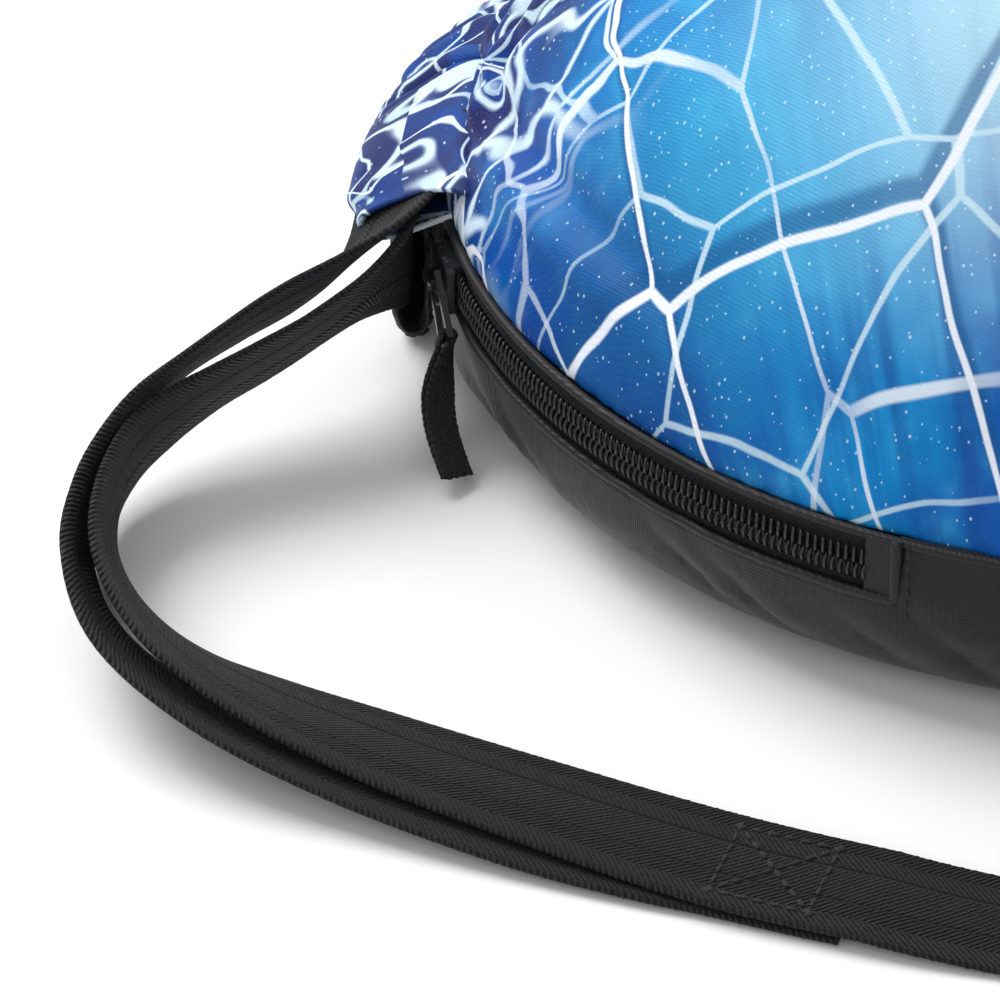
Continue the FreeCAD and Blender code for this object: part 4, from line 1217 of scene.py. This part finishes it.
seam_turns = np.linspace(np.pi + corner_turn, 2 * np.pi - corner_turn, 420)
seam_line = front_edge(seam_turns)
seam_line = seam_line - np.array([0, 0, 0.7])
dress(tube_along("seam_roll", seam_line + outward(seam_line) * 0.1, 0.9), "bag", black_cloth, "black_taffeta")

stitch_right = on_wall(upright(WINDOW[1] + 1.0, WINDOW_LOW - 2.4, SEAM_Z - 2), 0.1)
dress(grown("pocket_stitches", sewing, [stitch_right], Step=0.0026, Stitch=0.002, Thread=0.00022,
            Finish=thread), "bag", thread, "thread")

# %% [markdown]
# ## The pull
# The slider and its metal tab keep their made shape and only get the lacquered finish. From the tab
# hangs a folded piece of webbing. It turns as it drops, so its face shows from in front.

# %% Pull of folded webbing
DROOP = math.radians(40)
SLIDER_SEAT = math.radians(103.6)
TAB_AXIS = 142.75
FAR_BAR = -12.4


def hung(v):
    """A point of the pull in its own axes, drooped, set on the bridge and turned to its place."""
    x, y, z = v
    x, z = x * math.cos(-DROOP) + z * math.sin(-DROOP), -x * math.sin(-DROOP) + z * math.cos(-DROOP)
    return seated((x, y + TAB_AXIS, z + ZIP_Z))


def seated(v):
    c, s = math.cos(SLIDER_SEAT), math.sin(SLIDER_SEAT)
    return np.array([v[0] * c - v[1] * s, v[0] * s + v[1] * c, v[2]])


def pull_line(steps=12, bend=20.0, twist_to=60.0, length=23.0):
    spot = np.array([FAR_BAR - 2.85, 0.0, 0.0])
    found = []
    for i in range(steps + 1):
        early = min(1.0, i / steps * 2)
        droop, twist = math.radians(bend * early), math.radians(25 + (twist_to - 25) * min(1.0, early * 1.6))
        ahead = np.array([-math.cos(droop), 0.1 * early, -math.sin(droop)])
        upright = np.array([-math.sin(droop), 0, math.cos(droop)])
        wide = upright * math.cos(twist) + np.array([0, 1.0, 0]) * math.sin(twist)
        deep = np.cross(wide, ahead)
        found.append((spot, wide, deep / np.linalg.norm(deep)))
        spot = spot + ahead * length / steps
    return found


def folded_pull():
    """Up one layer, round the tab's bar, and down the other."""
    line = pull_line()
    up = [(p + d * 0.56, w, d) for p, w, d in line[::-1]]
    bar = np.array([FAR_BAR, 0, 0])
    across = np.array([0, 0, 1.0])
    ways = [np.array([math.cos(a), math.sin(a), 0]) for a in np.linspace(-math.pi / 2, math.pi / 2, 15)]
    bow = [(bar + 1.5 * way, across, way) for way in ways]
    down = [(p - d * 0.56, w, -d) for p, w, d in line]
    origin = hung((0, 0, 0))
    found = [(hung(p), hung(w) - origin, hung(d) - origin) for p, w, d in up + bow + down]
    return [(bowed(p), w, d) for p, w, d in found]


def bowed(point):
    """The soft pull bows outwards half way down."""
    share = np.clip((22.5 - point[2]) / 20.0, 0, 1)
    return point + np.array([-3.4 * math.sin(math.pi * share ** 0.8), 0, 0])


dress(web_piece("folded_pull", folded_pull(), nub=0.12, width=7.0, thick=1.0, step=0.35), "pull",
      webbing, "webbing", "webbing_pull")


def pull_stitch_lines():
    origin = hung((0, 0, 0))
    line = [(hung(p), hung(w) - origin, hung(d) - origin) for p, w, d in pull_line()]
    rows = []
    for face in (-1, 1):
        for k in (1, 12):
            p, w, d = line[k]
            rows.append([bowed(p) + d * face * 1.12 + w * v for v in (-2.6, 2.6)])
    return rows


dress(grown("pull_stitches", sewing, pull_stitch_lines(), Step=0.0017, Stitch=0.0014, Thread=0.0002,
            Finish=thread), "pull", thread, "thread")

# %% Finishes on the made parts
for node, material in (("slider", black_metal), ("pull_tab", black_metal), ("zip_top_stops", black_metal),
                       ("zip_end_tab", black_cloth), ("pocket_bag", lining_cloth)):
    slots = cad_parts[node].data.materials
    slots.clear()
    slots.append(material)
print("five made parts keep their shape")

# %% [markdown]
# ## Floor, light and camera
# The floor is pale and runs on under everything. The main soft lamp stands above and to the left, a
# weaker one behind, and a large faint one in front, so the folds show and shadows stay soft.

# %% Floor
floor_mesh = bpy.data.meshes.new("floor")
floor_mesh.from_pydata([(-6, -6, 0), (6, -6, 0), (6, 6, 0), (-6, 6, 0)], [], [(0, 1, 2, 3)])
floor = bpy.data.objects.new("floor", floor_mesh)
floor.location.z = -0.0003
bpy.context.collection.objects.link(floor)
floor_finish, tree, shader = new_material("pale floor", Roughness=0.7)
shader.inputs["Base Color"].default_value = (0.93, 0.93, 0.935, 1)
shader.inputs["Specular IOR Level"].default_value = 0.1
floor_mesh.materials.append(floor_finish)
floor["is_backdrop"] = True

world = bpy.data.worlds.new("studio")
bpy.context.scene.world = world
world.use_nodes = True
world.node_tree.nodes["Background"].inputs[0].default_value = (1, 1, 1, 1)
world.node_tree.nodes["Background"].inputs[1].default_value = 0.5


def lamp(name, place, target, size, power):
    data = bpy.data.lights.new(name, "AREA")
    data.shape = "SQUARE"
    data.size = size
    data.energy = power
    piece = bpy.data.objects.new(name, data)
    piece.location = place
    piece.rotation_euler = (Vector(target) - Vector(place)).to_track_quat("-Z", "Y").to_euler()
    bpy.context.collection.objects.link(piece)


lamp("key", (-0.9, 0.6, 1.3), (0, 0, 0), 1.1, 25.0)
lamp("back", (0.5, 1.2, 0.9), (0, 0, 0.05), 1.0, 7.0)
lamp("front fill", (-0.5, -1.4, 1.2), (0, 0, 0), 1.4, 6.0)

# %% Camera
look_at = Vector((-0.1264, -0.0622, 0.0))
tilt = math.radians(36)
camera_data = bpy.data.cameras.new("camera")
camera_data.lens = 209.9
camera_data.sensor_width = 36
camera_data.clip_start = 0.05
camera = bpy.data.objects.new("camera", camera_data)
camera.location = look_at + Vector((0, -math.cos(tilt), math.sin(tilt))) * 1.1
camera.rotation_euler = (look_at - camera.location).to_track_quat("-Z", "Y").to_euler()
bpy.context.collection.objects.link(camera)
bpy.context.scene.camera = camera
bpy.context.scene.view_settings.view_transform = "Standard"

# %% Sizes and finish
low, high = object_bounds()
print("made box in mm", [round(v * 1000) for v in (*low, *high)])
